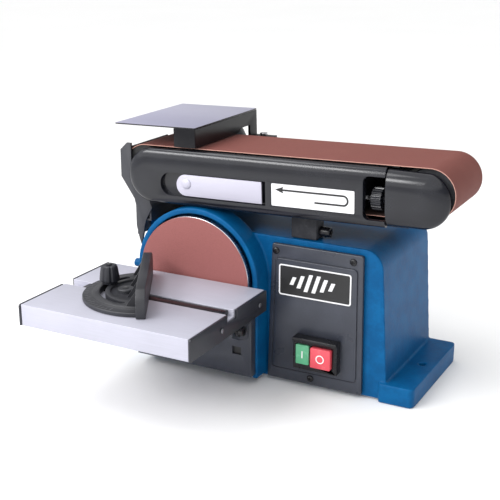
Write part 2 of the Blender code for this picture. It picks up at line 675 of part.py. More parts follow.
def cap_profile():
    """Return a table end cap's outline, notched for the mitre slot."""
    foot = TABLE_TOP - TABLE_DEPTH
    notch = SLOT_WIDTH / 2 + 2.5
    return ([(TABLE_BACK, foot), (TABLE_BACK, TABLE_TOP), (SLOT_Y + notch, TABLE_TOP),
             (SLOT_Y + notch, 119.5), (SLOT_Y - notch, 119.5), (SLOT_Y - notch, TABLE_TOP)]
            + arc((TABLE_FRONT + 2.2, TABLE_TOP - 3), 3.0, 90, 180, 4) + [(TABLE_FRONT - 0.8, foot)])


def trunnion_outlines():
    """Return a trunnion's outline with its pin hole and its curved lock slot."""
    centre = (TILT_Y, TILT_Z)
    top = TABLE_TOP - 5 - GAP
    body = ([(-119, top), (-172, top), (-172, 118)]
            + arc(centre, 39, 161, TILT_LOCK_ANGLE + 11.5, 16) + arc(centre, 8, 250, 360, 8)
            + [(-116.5, 112), (-119, 116)])
    start, end = TILT_LOCK_ANGLE - TILT_RANGE - 6.4, TILT_LOCK_ANGLE + 6.4
    outer = TILT_LOCK_RADIUS + 3.3
    inner = TILT_LOCK_RADIUS - 3.3
    slot = arc(centre, outer, start, end, 14) + arc(centre, inner, end, start, 14)
    return [body, arc(centre, 4.2, 0, 345, 23), slot]


def build_table():
    """The tilting table: extrusion, end caps with screws, and the two trunnions."""
    top = slab("table_top", [table_profile()], "YZ", TABLE_LEFT, TABLE_RIGHT, TILT)
    paint(top, "aluminium")
    sides = (("left", TABLE_LEFT - GAP - 3, TABLE_LEFT - GAP), ("right", TABLE_RIGHT + GAP,
                                                                TABLE_RIGHT + GAP + 3))
    for name, low, high in sides:
        cap = slab(f"table_cap_{name}", [cap_profile()], "YZ", low, high, TILT)
        paint(cap, "charcoal_plastic")
        outside = (low - 1.8, low - GAP) if name == "left" else (high + GAP, high + 1.8)
        for number, y in enumerate((-226, -137), 1):
            screw = rod(f"cap_screw_{name}_{number}", 2.8, (0, y, 117), outside[0], outside[1], "X", 16,
                        TILT)
            paint(screw, "steel")
    for side, name in ((-1, "left"), (1, "right")):
        low, high = sorted((side * 79.2, side * 83))
        trunnion = slab(f"trunnion_{name}", trunnion_outlines(), "YZ", low, high, TILT)
        paint(trunnion, "black_paint")


def gauge_point(x, y):
    """Return a world place for a point in the gauge's own plan, whose fence runs along Y."""
    angle = math.radians(GAUGE_TURN)
    return (GAUGE_X + x * math.cos(angle) - y * math.sin(angle),
            SLOT_Y + x * math.sin(angle) + y * math.cos(angle))


def build_gauge():
    """The mitre gauge: guide bar, protractor head with its fence, and clamp knob."""
    half = SLOT_WIDTH / 2 - GAP
    bar = box("gauge_bar", (-98, SLOT_Y - half, SLOT_FLOOR + GAP), (92, SLOT_Y + half, 128.2), GAUGE)
    paint(bar, "black_paint")
    floor = TABLE_TOP + 0.4
    plan = [gauge_point(x, y) for x, y in arc((0, 0), GAUGE_RADIUS, 90, 270, 32) + [(3, -70), (3, 70)]]
    head = slab("gauge_head", [plan], "XY", floor, floor + 7.5, GAUGE)
    round_head_rim(head, floor + 7.5)
    fence_side = [(-76, floor), (76, floor), (76, 151), (66, 161), (-66, 161), (-76, 151)]
    fence = slab("gauge_fence", [fence_side], "YZ", -4, 7)
    turn = Matrix.Translation(Vector((GAUGE_X, SLOT_Y, 0)) * MM) @ Matrix.Rotation(
        math.radians(GAUGE_TURN), 4, "Z")
    fence.data.transform(turn)
    boss_at = gauge_point(-16, 0)
    boss = rod("gauge_boss", 12, (*boss_at, 0), floor + 5, floor + 10, "Z", 28)
    add(head, fence, boss)
    middle = (GAUGE_X, SLOT_Y)
    first, last = 180 + GAUGE_TURN - GAUGE_SWING - 4.5, 180 + GAUGE_TURN + GAUGE_SWING + 4.5
    groove = (arc(middle, GAUGE_SLOT_RADIUS + 3.2, first, last, 20)
              + arc(middle, GAUGE_SLOT_RADIUS - 3.2, last, first, 20))
    cut(head, slab("gauge_groove", [groove], "XY", floor - 2, floor + 12))
    paint(head, "grey_plastic")
    build_gauge_knob(floor)


def round_head_rim(item, height):
    """Round the protractor's upper edge."""
    shape = bmesh.new()
    shape.from_mesh(item.data)
    level = height * MM - item.location.z
    rim = [edge for edge in shape.edges
           if all(abs(vert.co.z - level) < MERGE for vert in edge.verts)
           and any(abs(face.normal.z) < 0.5 for face in edge.link_faces)]
    bmesh.ops.bevel(shape, geom=rim, offset=1.5 * MM, segments=2, profile=0.5, affect="EDGES",
                    clamp_overlap=True)
    shape.to_mesh(item.data)
    shape.free()


def build_gauge_knob(floor):
    """The ribbed clamp knob, whose stud passes through the curved slot into the bar."""
    x = GAUGE_X - GAUGE_SLOT_RADIUS
    ribs = []
    for index in range(48):
        angle = 2 * math.pi * index / 48
        radius = 11.2 + (0.9 if index % 6 < 3 else 0.0)
        ribs.append((x + radius * math.cos(angle), SLOT_Y + radius * math.sin(angle)))
    knob = slab("gauge_knob", [ribs], "XY", floor + 8.2, floor + 30, (x, SLOT_Y, 0))
    top = [vert for vert in knob.data.vertices if vert.co.z > (floor + 20) * MM]
    for vert in top:
        vert.co.x *= 0.78
        vert.co.y *= 0.78
    add(knob, rod("gauge_stud", 2.6, (x, SLOT_Y, 0), 128.2 + GAP, floor + 12, "Z", 16))
    paint(knob, "charcoal_plastic")


def seat_arm(pieces):
    """Tip the level arm's pieces up around its drum and seat them on the drum's shaft."""
    seat = bpy.data.objects.new("arm_seat", None)
    PARTS.objects.link(seat)
    tip = Matrix.Rotation(math.radians(-ARM_TILT), 4, "Y")
    seat.matrix_world = (Matrix.Translation(Vector(DRUM) * MM) @ tip
                         @ Matrix.Translation(-Vector(ARM_DRUM) * MM))
    for piece in pieces:
        piece.parent = seat


def build():
    """Build every piece."""
    build_housing()
    build_bottom()
    build_switch_panel()
    build_hood()
    build_rest()
    build_pedestal()
    build_motor()
    build_spindle()
    build_drive()
    fixed = set(bpy.data.objects)
    build_arm()
    build_stop()
    build_tension()
    seat_arm([item for item in bpy.data.objects if item not in fixed])
    build_table_bracket()
    build_table()
    build_gauge()


clear_scene()
PARTS = make_collection("belt_disc_sander")
CUTTERS = make_collection("cutters")
build()
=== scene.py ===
"""Looks for a belt and disc sander, built around its packed mechanical frame.

Sizes in the dataclasses are millimetres in the machine's own frame: +X along the belt arm,
+Y away from the operator, +Z up. The arm's pieces are drawn level and then tipped with it.
"""
from __future__ import annotations

import logging
import math
from collections.abc import Callable, Sequence
from dataclasses import dataclass, field
from enum import Enum

import bmesh
import bpy
from mathutils import Matrix, Vector
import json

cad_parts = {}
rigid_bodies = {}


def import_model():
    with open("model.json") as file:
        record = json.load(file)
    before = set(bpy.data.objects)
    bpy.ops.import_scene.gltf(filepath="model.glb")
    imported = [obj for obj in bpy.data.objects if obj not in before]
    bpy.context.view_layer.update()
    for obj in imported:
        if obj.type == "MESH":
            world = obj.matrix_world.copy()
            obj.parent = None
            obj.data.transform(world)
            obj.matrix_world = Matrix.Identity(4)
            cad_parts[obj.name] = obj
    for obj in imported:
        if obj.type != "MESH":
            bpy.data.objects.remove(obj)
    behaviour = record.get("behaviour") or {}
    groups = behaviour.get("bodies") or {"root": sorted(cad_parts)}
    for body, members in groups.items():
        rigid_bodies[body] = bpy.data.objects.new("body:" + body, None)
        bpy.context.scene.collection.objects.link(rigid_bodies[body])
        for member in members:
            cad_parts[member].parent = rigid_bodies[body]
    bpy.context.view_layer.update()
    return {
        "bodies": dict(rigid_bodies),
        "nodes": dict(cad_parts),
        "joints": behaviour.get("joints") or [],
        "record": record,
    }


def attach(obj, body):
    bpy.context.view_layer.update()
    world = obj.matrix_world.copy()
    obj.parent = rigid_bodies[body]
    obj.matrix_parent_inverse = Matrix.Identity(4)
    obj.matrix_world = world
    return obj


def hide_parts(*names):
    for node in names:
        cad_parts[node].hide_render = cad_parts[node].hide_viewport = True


MM = 0.001
Point2 = tuple[float, float]
Point3 = tuple[float, float, float]
Colour = tuple[float, float, float]
WELD = 0.00001  # points nearer than this, in metres, are one point
FLAT = 1.0  # facets that turn by less than this, in degrees, are one face
LOG = logging.getLogger("sander")


class Axis(Enum):
    """The axis that a turned or extruded piece is built along."""

    X = "X"
    Y = "Y"
    Z = "Z"

    def turn(self) -> Matrix:
        """Return the rotation that takes +Z to this axis.

        Returns:
            The rotation.
        """
        if self is Axis.X:
            return Matrix.Rotation(math.pi / 2, 4, "Y")
        if self is Axis.Y:
            return Matrix.Rotation(-math.pi / 2, 4, "X")
        return Matrix.Identity(4)


class Plane(Enum):
    """The plane that a flat outline is drawn in."""

    FRONT = "XZ"
    SIDE = "YZ"
    TOP = "XY"

    def lift(self, point: Point2, depth: float) -> Vector:
        """Return the place of an outline point at a depth, in millimetres.

        Args:
            point: The point's two coordinates in the outline.
            depth: Its third coordinate.

        Returns:
            The place.
        """
        if self is Plane.FRONT:
            return Vector((point[0], depth, point[1]))
        if self is Plane.SIDE:
            return Vector((depth, point[0], point[1]))
        return Vector((point[0], point[1], depth))


# ---------------------------------------------------------------------------- shader bench


class Signal:
    """A shader socket that can be used in ordinary arithmetic."""

    def __init__(self, bench: "Bench", socket: bpy.types.NodeSocket) -> None:
        """Keep the bench and the socket."""
        self.bench = bench
        self.socket = socket

    def _math(self, operation: str, *values: "Signal | float") -> "Signal":
        """Return the result of a Math node on some values.

        Args:
            operation: The node's operation.
            *values: Its inputs, in their order.

        Returns:
            The node's output.
        """
        sockets = dict(enumerate(values))
        node = self.bench.node("ShaderNodeMath", {"operation": operation}, sockets)
        return Signal(self.bench, node.outputs[0])

    def __add__(self, other: "Signal | float") -> "Signal":
        """Return self + other."""
        return self._math("ADD", self, other)

    def __radd__(self, other: float) -> "Signal":
        """Return other + self."""
        return self._math("ADD", other, self)

    def __sub__(self, other: "Signal | float") -> "Signal":
        """Return self - other."""
        return self._math("SUBTRACT", self, other)

    def __rsub__(self, other: float) -> "Signal":
        """Return other - self."""
        return self._math("SUBTRACT", other, self)

    def __mul__(self, other: "Signal | float") -> "Signal":
        """Return self * other."""
        return self._math("MULTIPLY", self, other)

    def __rmul__(self, other: float) -> "Signal":
        """Return other * self."""
        return self._math("MULTIPLY", other, self)

    def __abs__(self) -> "Signal":
        """Return the size of self."""
        return self._math("ABSOLUTE", self)

    def step(self, low: float, high: float) -> "Signal":
        """Return 0 below low and 1 above high, with a smooth rise between them.

        Args:
            low: The value below which it is 0.
            high: The value above which it is 1.

        Returns:
            The rise.
        """
        node = self.bench.node("ShaderNodeMapRange", {"interpolation_type": "SMOOTHSTEP"},
                               {"Value": self, "From Min": low, "From Max": high})
        return Signal(self.bench, node.outputs["Result"])


class Bench:
    """Builds the nodes of a material, or of the world, around its shader."""

    def __init__(self, owner: bpy.types.Material | bpy.types.World,
                 shader: str = "Principled BSDF") -> None:
        """Start on an owner's nodes.

        Args:
            owner: The material or the world.
            shader: The name of the shader that it comes with.
        """
        owner.use_nodes = True
        self.owner = owner
        self.tree = owner.node_tree
        self.shader = self.tree.nodes[shader]

    def node(self, kind: str, settings: dict | None = None,
             sockets: dict | None = None) -> bpy.types.Node:
        """Add a node.

        Args:
            kind: The node's type.
            settings: Values of its own properties, set first.
            sockets: Values, signals or sockets for its inputs.

        Returns:
            The node.
        """
        made = self.tree.nodes.new(kind)
        for key, value in (settings or {}).items():
            setattr(made, key, value)
        for key, value in (sockets or {}).items():
            self.plug(made.inputs[key], value)
        return made

    def plug(self, socket: bpy.types.NodeSocket, value: object) -> None:
        """Give a socket a value or a link.

        Args:
            socket: The input socket.
            value: A signal or a socket to link, or a plain value.
        """
        if isinstance(value, Signal):
            self.tree.links.new(value.socket, socket)
        elif isinstance(value, bpy.types.NodeSocket):
            self.tree.links.new(value, socket)
        else:
            socket.default_value = value

    def place(self, stretch: Point3 = (1.0, 1.0, 1.0)) -> bpy.types.NodeSocket:
        """Return the place on the object, stretched along its axes.

        Args:
            stretch: A factor on the distance along each axis.

        Returns:
            The place's socket.
        """
        coords = self.node("ShaderNodeTexCoord").outputs["Object"]
        if stretch == (1.0, 1.0, 1.0):
            return coords
        scaled = self.node("ShaderNodeVectorMath", {"operation": "MULTIPLY"},
                           {0: coords, 1: stretch})
        return scaled.outputs[0]

    def along(self, axis: Axis) -> Signal:
        """Return the distance along one axis, in metres."""
        parts = self.node("ShaderNodeSeparateXYZ", {}, {0: self.place()})
        return Signal(self, parts.outputs[axis.value])

    def noise(self, scale: float, detail: float = 2.0, stretch: Point3 = (1.0, 1.0, 1.0)) -> Signal:
        """Return a noise between 0 and 1.

        Args:
            scale: How many lumps there are in a metre.
            detail: How many finer layers it has.
            stretch: A factor on the distance along each axis.

        Returns:
            The noise.
        """
        node = self.node("ShaderNodeTexNoise", {},
                         {"Vector": self.place(stretch), "Scale": scale, "Detail": detail})
        return Signal(self, node.outputs["Fac"])

    def cells(self, scale: float) -> Signal:
        """Return the distance to the nearest of scattered points, as grains have it."""
        node = self.node("ShaderNodeTexVoronoi", {}, {"Vector": self.place(), "Scale": scale})
        return Signal(self, node.outputs["Distance"])

    def blend(self, amount: Signal | float, first: object, second: object) -> bpy.types.NodeSocket:
        """Return a mix of two colours.

        Args:
            amount: The share of the second colour.
            first: The first colour.
            second: The second colour.

        Returns:
            The mixed colour's socket.
        """
        node = self.node("ShaderNodeMix", {"data_type": "RGBA"},
                         {0: amount, 6: self._rgba(first), 7: self._rgba(second)})
        return node.outputs[2]

    @staticmethod
    def _rgba(value: object) -> object:
        """Return a colour with its alpha, or the socket as it is."""
        return (*value, 1.0) if isinstance(value, tuple) else value

    def bump(self, height: Signal, distance: float, strength: float = 1.0) -> None:
        """Raise the surface by a height.

        Args:
            height: The height, from 0 to 1.
            distance: What a height of 1 means, in metres.
            strength: How strongly it shades.
        """
        node = self.node("ShaderNodeBump", {},
                         {"Height": height, "Distance": distance, "Strength": strength})
        self.plug(self.shader.inputs["Normal"], node.outputs["Normal"])

    def finish(self, **values: object) -> bpy.types.Material | bpy.types.World:
        """Set the shader's sockets.

        Args:
            **values: A value or link for each socket, by its name with underscores for spaces.

        Returns:
            The material or the world.
        """
        for key, value in values.items():
            socket = key.replace("_", " ").title().replace("Ior", "IOR")
            self.plug(self.shader.inputs[socket], self._rgba(value))
        return self.owner


# -------------------------------------------------------------------------------- finishes


@dataclass(frozen=True)
class CastPaint:
    """Glossy enamel over a rough casting."""

    name: str
    colour: Colour
    deep: Colour
    roughness: float = 0.4
    relief: float = 0.00035

    def make(self) -> bpy.types.Material:
        """Mix two tones by broad and fine noise, over a pitted relief.

        Returns:
            The material.
        """
        bench = Bench(bpy.data.materials.new(self.name))
        broad = bench.noise(38, 3.0)
        grain = bench.noise(260, 2.0)
        pits = bench.cells(420)
        colour = bench.blend((broad * 0.65 + grain * 0.35).step(0.35, 0.68), self.deep, self.colour)
        bench.bump(broad * 0.45 + grain * 0.4 + pits * 0.3, self.relief, 0.55)
        return bench.finish(base_color=colour, roughness=grain * 0.16 + (self.roughness - 0.06),
                            ior=1.22)


@dataclass(frozen=True)
class Moulding:
    """Moulded plastic with a fine texture."""

    name: str
    colour: Colour
    light: Colour
    roughness: float = 0.4
    grain: float = 1400.0
    relief: float = 0.00006
    shine: float = 0.5

    def make(self) -> bpy.types.Material:
        """Mix two tones by flow marks and grain, over a fine relief.

        Returns:
            The material.
        """
        bench = Bench(bpy.data.materials.new(self.name))
        flow = bench.noise(30, 3.0)
        fine = bench.noise(self.grain, 2.0)
        colour = bench.blend((flow * 0.6 + fine * 0.4).step(0.4, 0.65), self.colour, self.light)
        bench.bump(fine, self.relief, 0.5)
        return bench.finish(base_color=colour, roughness=flow * 0.14 + (self.roughness - 0.07),
                            specular_ior_level=self.shine)


@dataclass(frozen=True)
class BrushedMetal:
    """Bare metal with fine lines along one direction."""

    name: str
    colour: Colour
    dull: Colour
    stretch: Point3 = (1.0, 40.0, 40.0)
    roughness: float = 0.34
    metallic: float = 1.0

    def make(self) -> bpy.types.Material:
        """Draw fine lines and faint stains on the metal.

        Returns:
            The material.
        """
        bench = Bench(bpy.data.materials.new(self.name))
        lines = bench.noise(28, 4.0, self.stretch)
        stain = bench.noise(16, 3.0)
        colour = bench.blend((lines * 0.5 + stain * 0.5).step(0.32, 0.66), self.dull, self.colour)
        bench.bump(lines, 0.00003, 0.45)
        return bench.finish(base_color=colour, metallic=self.metallic,
                            roughness=lines * 0.18 + (self.roughness - 0.09))


@dataclass(frozen=True)
class Grit:
    """Coated abrasive: dense grains in a red-brown bond on cloth."""

    name: str
    bond: Colour
    grain: Colour
    worn: Colour
    splice: tuple[float, float] | None = None

    def make(self) -> bpy.types.Material:
        """Scatter grains in the bond, with worn patches and the splice if there is one.

        Returns:
            The material.
        """
        bench = Bench(bpy.data.materials.new(self.name))
        grains = bench.cells(1500)
        specks = bench.noise(900, 3.0)
        patches = bench.noise(14, 3.0)
        colour = bench.blend((grains * 0.7 + specks * 0.5).step(0.3, 0.75), self.grain, self.bond)
        colour = bench.blend(patches.step(0.5, 0.8) * 0.4, colour, self.worn)
        if self.splice:
            place, lean = self.splice
            offset = bench.along(Axis.X) - bench.along(Axis.Y) * lean - place
            line = 1 - abs(offset).step(0.0004, 0.0012)
            colour = bench.blend(line * 0.45, colour, self.bond)
        bench.bump((1 - grains) * 0.6 + specks * 0.4, 0.0002, 0.7)
        return bench.finish(base_color=colour, roughness=specks * 0.15 + 0.72)


@dataclass(frozen=True)
class PlainPrint:
    """A smooth printed or painted surface with faint handling marks."""

    name: str
    colour: Colour
    mark: Colour
    roughness: float = 0.35
    metallic: float = 0.0

    def make(self) -> bpy.types.Material:
        """Lay faint handling marks on a smooth film.

        Returns:
            The material.
        """
        bench = Bench(bpy.data.materials.new(self.name))
        marks = bench.noise(70, 4.0)
        film = bench.noise(700, 2.0)
        colour = bench.blend(marks.step(0.45, 0.8) * 0.5, self.colour, self.mark)
        bench.bump(film, 0.00002, 0.3)
        return bench.finish(base_color=colour, metallic=self.metallic,
                            roughness=marks * 0.12 + (self.roughness - 0.05))


@dataclass(frozen=True)
class Rubber:
    """Black rubber with a dusty bloom."""

    name: str = "black_rubber"

    def make(self) -> bpy.types.Material:
        """Lay dust on a fine-grained black surface.

        Returns:
            The material.
        """
        bench = Bench(bpy.data.materials.new(self.name))
        dust = bench.noise(90, 4.0)
        bench.bump(bench.noise(1200, 2.0), 0.00008, 0.4)
        colour = bench.blend(dust.step(0.45, 0.75), (0.012, 0.012, 0.013), (0.035, 0.034, 0.036))
        return bench.finish(base_color=colour, roughness=dust * 0.15 + 0.66)


class Finish(Enum):
    """Every finish on the machine."""

    BLUE = CastPaint("blue_enamel", (0.0015, 0.102, 0.27), (0.001, 0.074, 0.21))
    IRON = CastPaint("grey_casting", (0.055, 0.056, 0.062), (0.03, 0.031, 0.036),
                     roughness=0.55, relief=0.0006)
    ARM_PLASTIC = Moulding("arm_moulding", (0.007, 0.0075, 0.0115), (0.011, 0.012, 0.0175),
                           roughness=0.18, grain=900, relief=0.000008, shine=0.45)
    PANEL_PLASTIC = Moulding("panel_moulding", (0.030, 0.034, 0.048), (0.040, 0.045, 0.062),
                             roughness=0.3)
    HOOD_PLASTIC = Moulding("hood_moulding", (0.026, 0.027, 0.034), (0.036, 0.038, 0.046),
                            roughness=0.5)
    GAUGE_PLASTIC = Moulding("gauge_moulding", (0.018, 0.0185, 0.023), (0.03, 0.031, 0.037),
                             roughness=0.48)
    CAP_PLASTIC = Moulding("cap_moulding", (0.010, 0.011, 0.017), (0.017, 0.018, 0.026),
                           roughness=0.42)
    STOP_BLACK = Moulding("stop_enamel", (0.004, 0.004, 0.006), (0.007, 0.007, 0.009),
                          roughness=0.3, grain=700, relief=0.00002, shine=0.2)
    BLACK_PAINT = Moulding("black_powder_coat", (0.006, 0.006, 0.008), (0.010, 0.010, 0.013),
                           roughness=0.28, grain=700, relief=0.00003, shine=0.4)
    ALUMINIUM = BrushedMetal("satin_aluminium", (0.47, 0.47, 0.55), (0.42, 0.42, 0.49),
                             roughness=0.5, metallic=0.25)
    ALUMINIUM_TURNED = BrushedMetal("turned_aluminium", (0.72, 0.72, 0.75), (0.55, 0.55, 0.58),
                                    stretch=(40.0, 1.0, 40.0), roughness=0.28)
    STEEL = BrushedMetal("bright_steel", (0.62, 0.62, 0.64), (0.42, 0.42, 0.45),
                         stretch=(1.0, 1.0, 30.0), roughness=0.25)
    ZINC = BrushedMetal("dull_zinc", (0.26, 0.26, 0.28), (0.17, 0.17, 0.19), roughness=0.45)
    COPPER = BrushedMetal("copper_winding", (0.60, 0.26, 0.13), (0.42, 0.17, 0.08),
                          stretch=(40.0, 1.0, 40.0), roughness=0.35)
    SILVER = PlainPrint("silver_paint", (0.64, 0.645, 0.72), (0.58, 0.585, 0.66),
                        roughness=0.32, metallic=0.2)
    STOP_SILVER = PlainPrint("stop_silver", (0.35, 0.345, 0.46), (0.39, 0.385, 0.50),
                             roughness=0.35, metallic=0.3)
    BELT = Grit("belt_grit", (0.195, 0.054, 0.042), (0.125, 0.036, 0.030), (0.245, 0.084, 0.066),
                splice=(0.0115, 0.45))
    DISC = Grit("disc_grit", (0.30, 0.100, 0.094), (0.215, 0.070, 0.066), (0.37, 0.15, 0.138))
    CLOTH = PlainPrint("belt_cloth", (0.50, 0.27, 0.22), (0.40, 0.2, 0.16), roughness=0.8)
    # The belt's inside: the cloth colours darkened tenfold, painted shade inside the loop.
    BELT_BACK = PlainPrint("belt_inside_painted_shadow", (0.055, 0.028, 0.022), (0.04, 0.02, 0.016), roughness=0.8)
    LABEL = PlainPrint("label_white", (0.78, 0.78, 0.80), (0.70, 0.70, 0.72), roughness=0.35)
    INK = PlainPrint("label_black", (0.012, 0.012, 0.013), (0.02, 0.02, 0.021), roughness=0.4)
    GREEN = PlainPrint("button_green", (0.10, 0.42, 0.22), (0.16, 0.50, 0.30), roughness=0.25)
    RED = PlainPrint("button_red", (0.74, 0.075, 0.105), (0.82, 0.14, 0.17), roughness=0.25)
    # Degree marks: a lighter grey that is painted highlight, since the marks are moulded in the
    # head's plastic.
    SCALE = PlainPrint("scale_painted_highlight", (0.11, 0.11, 0.12), (0.09, 0.09, 0.10), roughness=0.5)
    SYMBOL = PlainPrint("symbol_white", (0.85, 0.85, 0.85), (0.75, 0.75, 0.75), roughness=0.4)
    RUBBER = Rubber()

    @property
    def material(self) -> bpy.types.Material:
        """Return this finish's material, made at its first use."""
        return bpy.data.materials.get(self.value.name) or self.value.make()


# ------------------------------------------------------------------------------ mesh tools


@dataclass(frozen=True)
class ArmSeat:
    """Where the level arm drawing is tipped and set on the drum's shaft."""

    tilt: float = 1.5
    drawn: Point3 = (-80.2, 0.0, 255.5)
    seated: Point3 = (-79.2, 0.0, 251.2)

    def matrix(self) -> Matrix:
        """Return the move from the level drawing to the machine.

        Returns:
            The move, in metres.
        """
        tip = Matrix.Rotation(math.radians(-self.tilt), 4, "Y")
        return (Matrix.Translation(Vector(self.seated) * MM) @ tip
                @ Matrix.Translation(-Vector(self.drawn) * MM))


LEVEL = Matrix.Identity(4)
ARM = ArmSeat().matrix()


def arc(centre: Point2, radius: float, start: float, end: float, steps: int = 16) -> list[Point2]:
    """Return points along an arc.

    Args:
        centre: The arc's centre.
        radius: Its radius.
        start: Its first angle, in degrees.
        end: Its last angle.
        steps: How many chords it has.

    Returns:
        The points, first and last included.
    """
    angles = [math.radians(start + (end - start) * step / steps) for step in range(steps + 1)]
    return [(centre[0] + radius * math.cos(a), centre[1] + radius * math.sin(a)) for a in angles]


def rounded_box(low: Point2, high: Point2, radius: float, steps: int = 4) -> list[Point2]:
    """Return a rectangle's outline with round corners.

    Args:
        low: Its lower left corner.
        high: Its upper right corner.
        radius: The radius of its corners.
        steps: How many chords each corner has.

    Returns:
        The outline, anticlockwise.
    """
    left, right = low[0] + radius, high[0] - radius
    bottom, top = low[1] + radius, high[1] - radius
    points: list[Point2] = []
    for quarter, centre in enumerate(((right, top), (left, top), (left, bottom), (right, bottom))):
        points += arc(centre, radius, 90 * quarter, 90 * quarter + 90, steps)
    return points


def object_from(shape: bmesh.types.BMesh, name: str, finish: Finish | None,
                seat: Matrix = LEVEL) -> bpy.types.Object:
    """Turn a mesh in millimetres into an object in its place.

    Args:
        shape: The mesh, which is freed.
        name: The object's name.
        finish: Its finish, or None for a cutter.
        seat: The move to its place on the machine.

    Returns:
        The object, with its origin at the machine's.
    """
    bmesh.ops.recalc_face_normals(shape, faces=shape.faces)
    mesh = bpy.data.meshes.new(name)
    shape.to_mesh(mesh)
    shape.free()
    mesh.transform(seat @ Matrix.Scale(MM, 4))
    item = bpy.data.objects.new(name, mesh)
    bpy.context.scene.collection.objects.link(item)
    if finish:
        mesh.materials.append(finish.material)
    return item


def loft(name: str, rings: Sequence[Sequence[Vector]], finish: Finish | None,
         seat: Matrix = LEVEL, capped: bool = True) -> bpy.types.Object:
    """Return a skin over closed rings of points.

    Args:
        name: The piece's name.
        rings: Rings with equal numbers of points, in millimetres.
        finish: Its finish.
        seat: The move to its place.
        capped: Whether the first and last ring are closed with a face.

    Returns:
        The object.
    """
    shape = bmesh.new()
    rows = [[shape.verts.new(point) for point in ring] for ring in rings]
    pairs = list(zip(rows, rows[1:]))
    if not capped:
        pairs.append((rows[-1], rows[0]))
    for first, second in pairs:
        count = len(first)
        for index in range(count):
            after = (index + 1) % count
            shape.faces.new((first[index], first[after], second[after], second[index]))
    if capped:
        shape.faces.new(rows[0][::-1])
        shape.faces.new(rows[-1])
    bmesh.ops.remove_doubles(shape, verts=shape.verts, dist=0.001)
    return object_from(shape, name, finish, seat)


def slab(name: str, outline: Sequence[Point2], plane: Plane, low: float, high: float,
         finish: Finish | None, seat: Matrix = LEVEL, edge: float = 0.0) -> bpy.types.Object:
    """Return a flat outline extruded between two depths, with rounded edges if asked.

    Args:
        name: The piece's name.
        outline: Its outline, in millimetres.
        plane: The plane that the outline is drawn in.
        low: The first depth.
        high: The second depth.
        finish: Its finish, or None for a cutter.
        seat: The move to its place.
        edge: How far its edges are rounded.

    Returns:
        The object.
    """
    rings = [[plane.lift(point, depth) for point in outline] for depth in (low, high)]
    item = loft(name, rings, finish, seat)
    if edge:
        bevel(item, edge)
    return item


def revolve(name: str, profile: Sequence[Point2], centre: Point3, axis: Axis,
            finish: Finish | None, seat: Matrix = LEVEL, sides: int = 48,
            wave: Callable[[float], float] | None = None) -> bpy.types.Object:
    """Return a turned piece.

    Args:
        name: The piece's name.
        profile: (radius, height) pairs, in millimetres, open at both ends on the axis.
        centre: A point on the axis; heights count from the machine's origin.
        axis: The axis of turning.
        finish: Its finish.
        seat: The move to its place.
        sides: How many sides it has.
        wave: A factor on the radius for each angle, for ribs and flutes.

    Returns:
        The object.
    """
    turn = Matrix.Translation(Vector(centre)) @ axis.turn()
    rings = []
    for radius, height in profile:
        ring = []
        for side in range(sides):
            angle = 2 * math.pi * side / sides
            reach = radius * (wave(angle) if wave else 1.0)
            ring.append(turn @ Vector((reach * math.cos(angle), reach * math.sin(angle), height)))
        rings.append(ring)
    return loft(name, rings, finish, seat)


def tool(item: bpy.types.Object, name: str, kind: str, **settings: object) -> bpy.types.Object:
    """Apply one modifier to an object.

    Args:
        item: The object.
        name: The modifier's name.
        kind: Its type.
        **settings: Its settings.

    Returns:
        The object, with the modifier's result as its mesh.
    """
    change = item.modifiers.new(name, kind)
    for key, value in settings.items():
        setattr(change, key, value)
    bpy.context.view_layer.update()
    evaluated = item.evaluated_get(bpy.context.evaluated_depsgraph_get())
    mesh = bpy.data.meshes.new_from_object(evaluated)
    item.modifiers.clear()
    item.data = mesh
    return item


def bevel(item: bpy.types.Object, width: float, segments: int = 2,
          angle: float = 32.0) -> bpy.types.Object:
    """Round the sharp edges of an object by a width in millimetres.

    Args:
        item: The object.
        width: How far the edges are rounded.
        segments: How many facets each rounded edge has.
        angle: The angle in degrees from which an edge counts as sharp.

    Returns:
        The object.
    """
    return tool(item, "edges", "BEVEL", width=width * MM, segments=segments, limit_method="ANGLE",
                angle_limit=math.radians(angle), use_clamp_overlap=True)


def carve(item: bpy.types.Object, *cutters: bpy.types.Object,
          operation: str = "DIFFERENCE") -> bpy.types.Object:
    """Cut shapes out of an object, or fuse them into it, and remove them.

    Args:
        item: The object.
        *cutters: The shapes.
        operation: DIFFERENCE to cut them out, or UNION to fuse them in.

    Returns:
        The object.
    """
    for cutter in cutters:
        tool(item, "cut", "BOOLEAN", object=cutter, operation=operation, solver="EXACT")
        bpy.data.objects.remove(cutter, do_unlink=True)
    return item


def smooth(item: bpy.types.Object, angle: float = 38.0) -> bpy.types.Object:
    """Shade an object smooth except across sharp edges.

    Args:
        item: The object.
        angle: The angle in degrees from which an edge stays sharp.

    Returns:
        The object.
    """
    item.data.shade_smooth()
    item.data.set_sharp_from_angle(angle=math.radians(angle))
    return item


def fuse(name: str, pieces: Sequence[bpy.types.Object]) -> bpy.types.Object:
    """Return one object that holds the faces of several.

    Args:
        name: The new object's name.
        pieces: The objects, which are removed.

    Returns:
        The new object, with all their finishes.
    """
    shape = bmesh.new()
    slots: list[bpy.types.Material] = []
    for piece in pieces:
        start = len(shape.faces)
        shape.from_mesh(piece.data)
        shape.faces.ensure_lookup_table()
        numbers = []
        for material in piece.data.materials:
            if material not in slots:
                slots.append(material)
            numbers.append(slots.index(material))
        for face in shape.faces[start:]:
            face.material_index = numbers[min(face.material_index, len(numbers) - 1)]
        bpy.data.objects.remove(piece, do_unlink=True)
    mesh = bpy.data.meshes.new(name)
    shape.to_mesh(mesh)
    shape.free()
    for material in slots:
        mesh.materials.append(material)
    item = bpy.data.objects.new(name, mesh)
    bpy.context.scene.collection.objects.link(item)
    return item


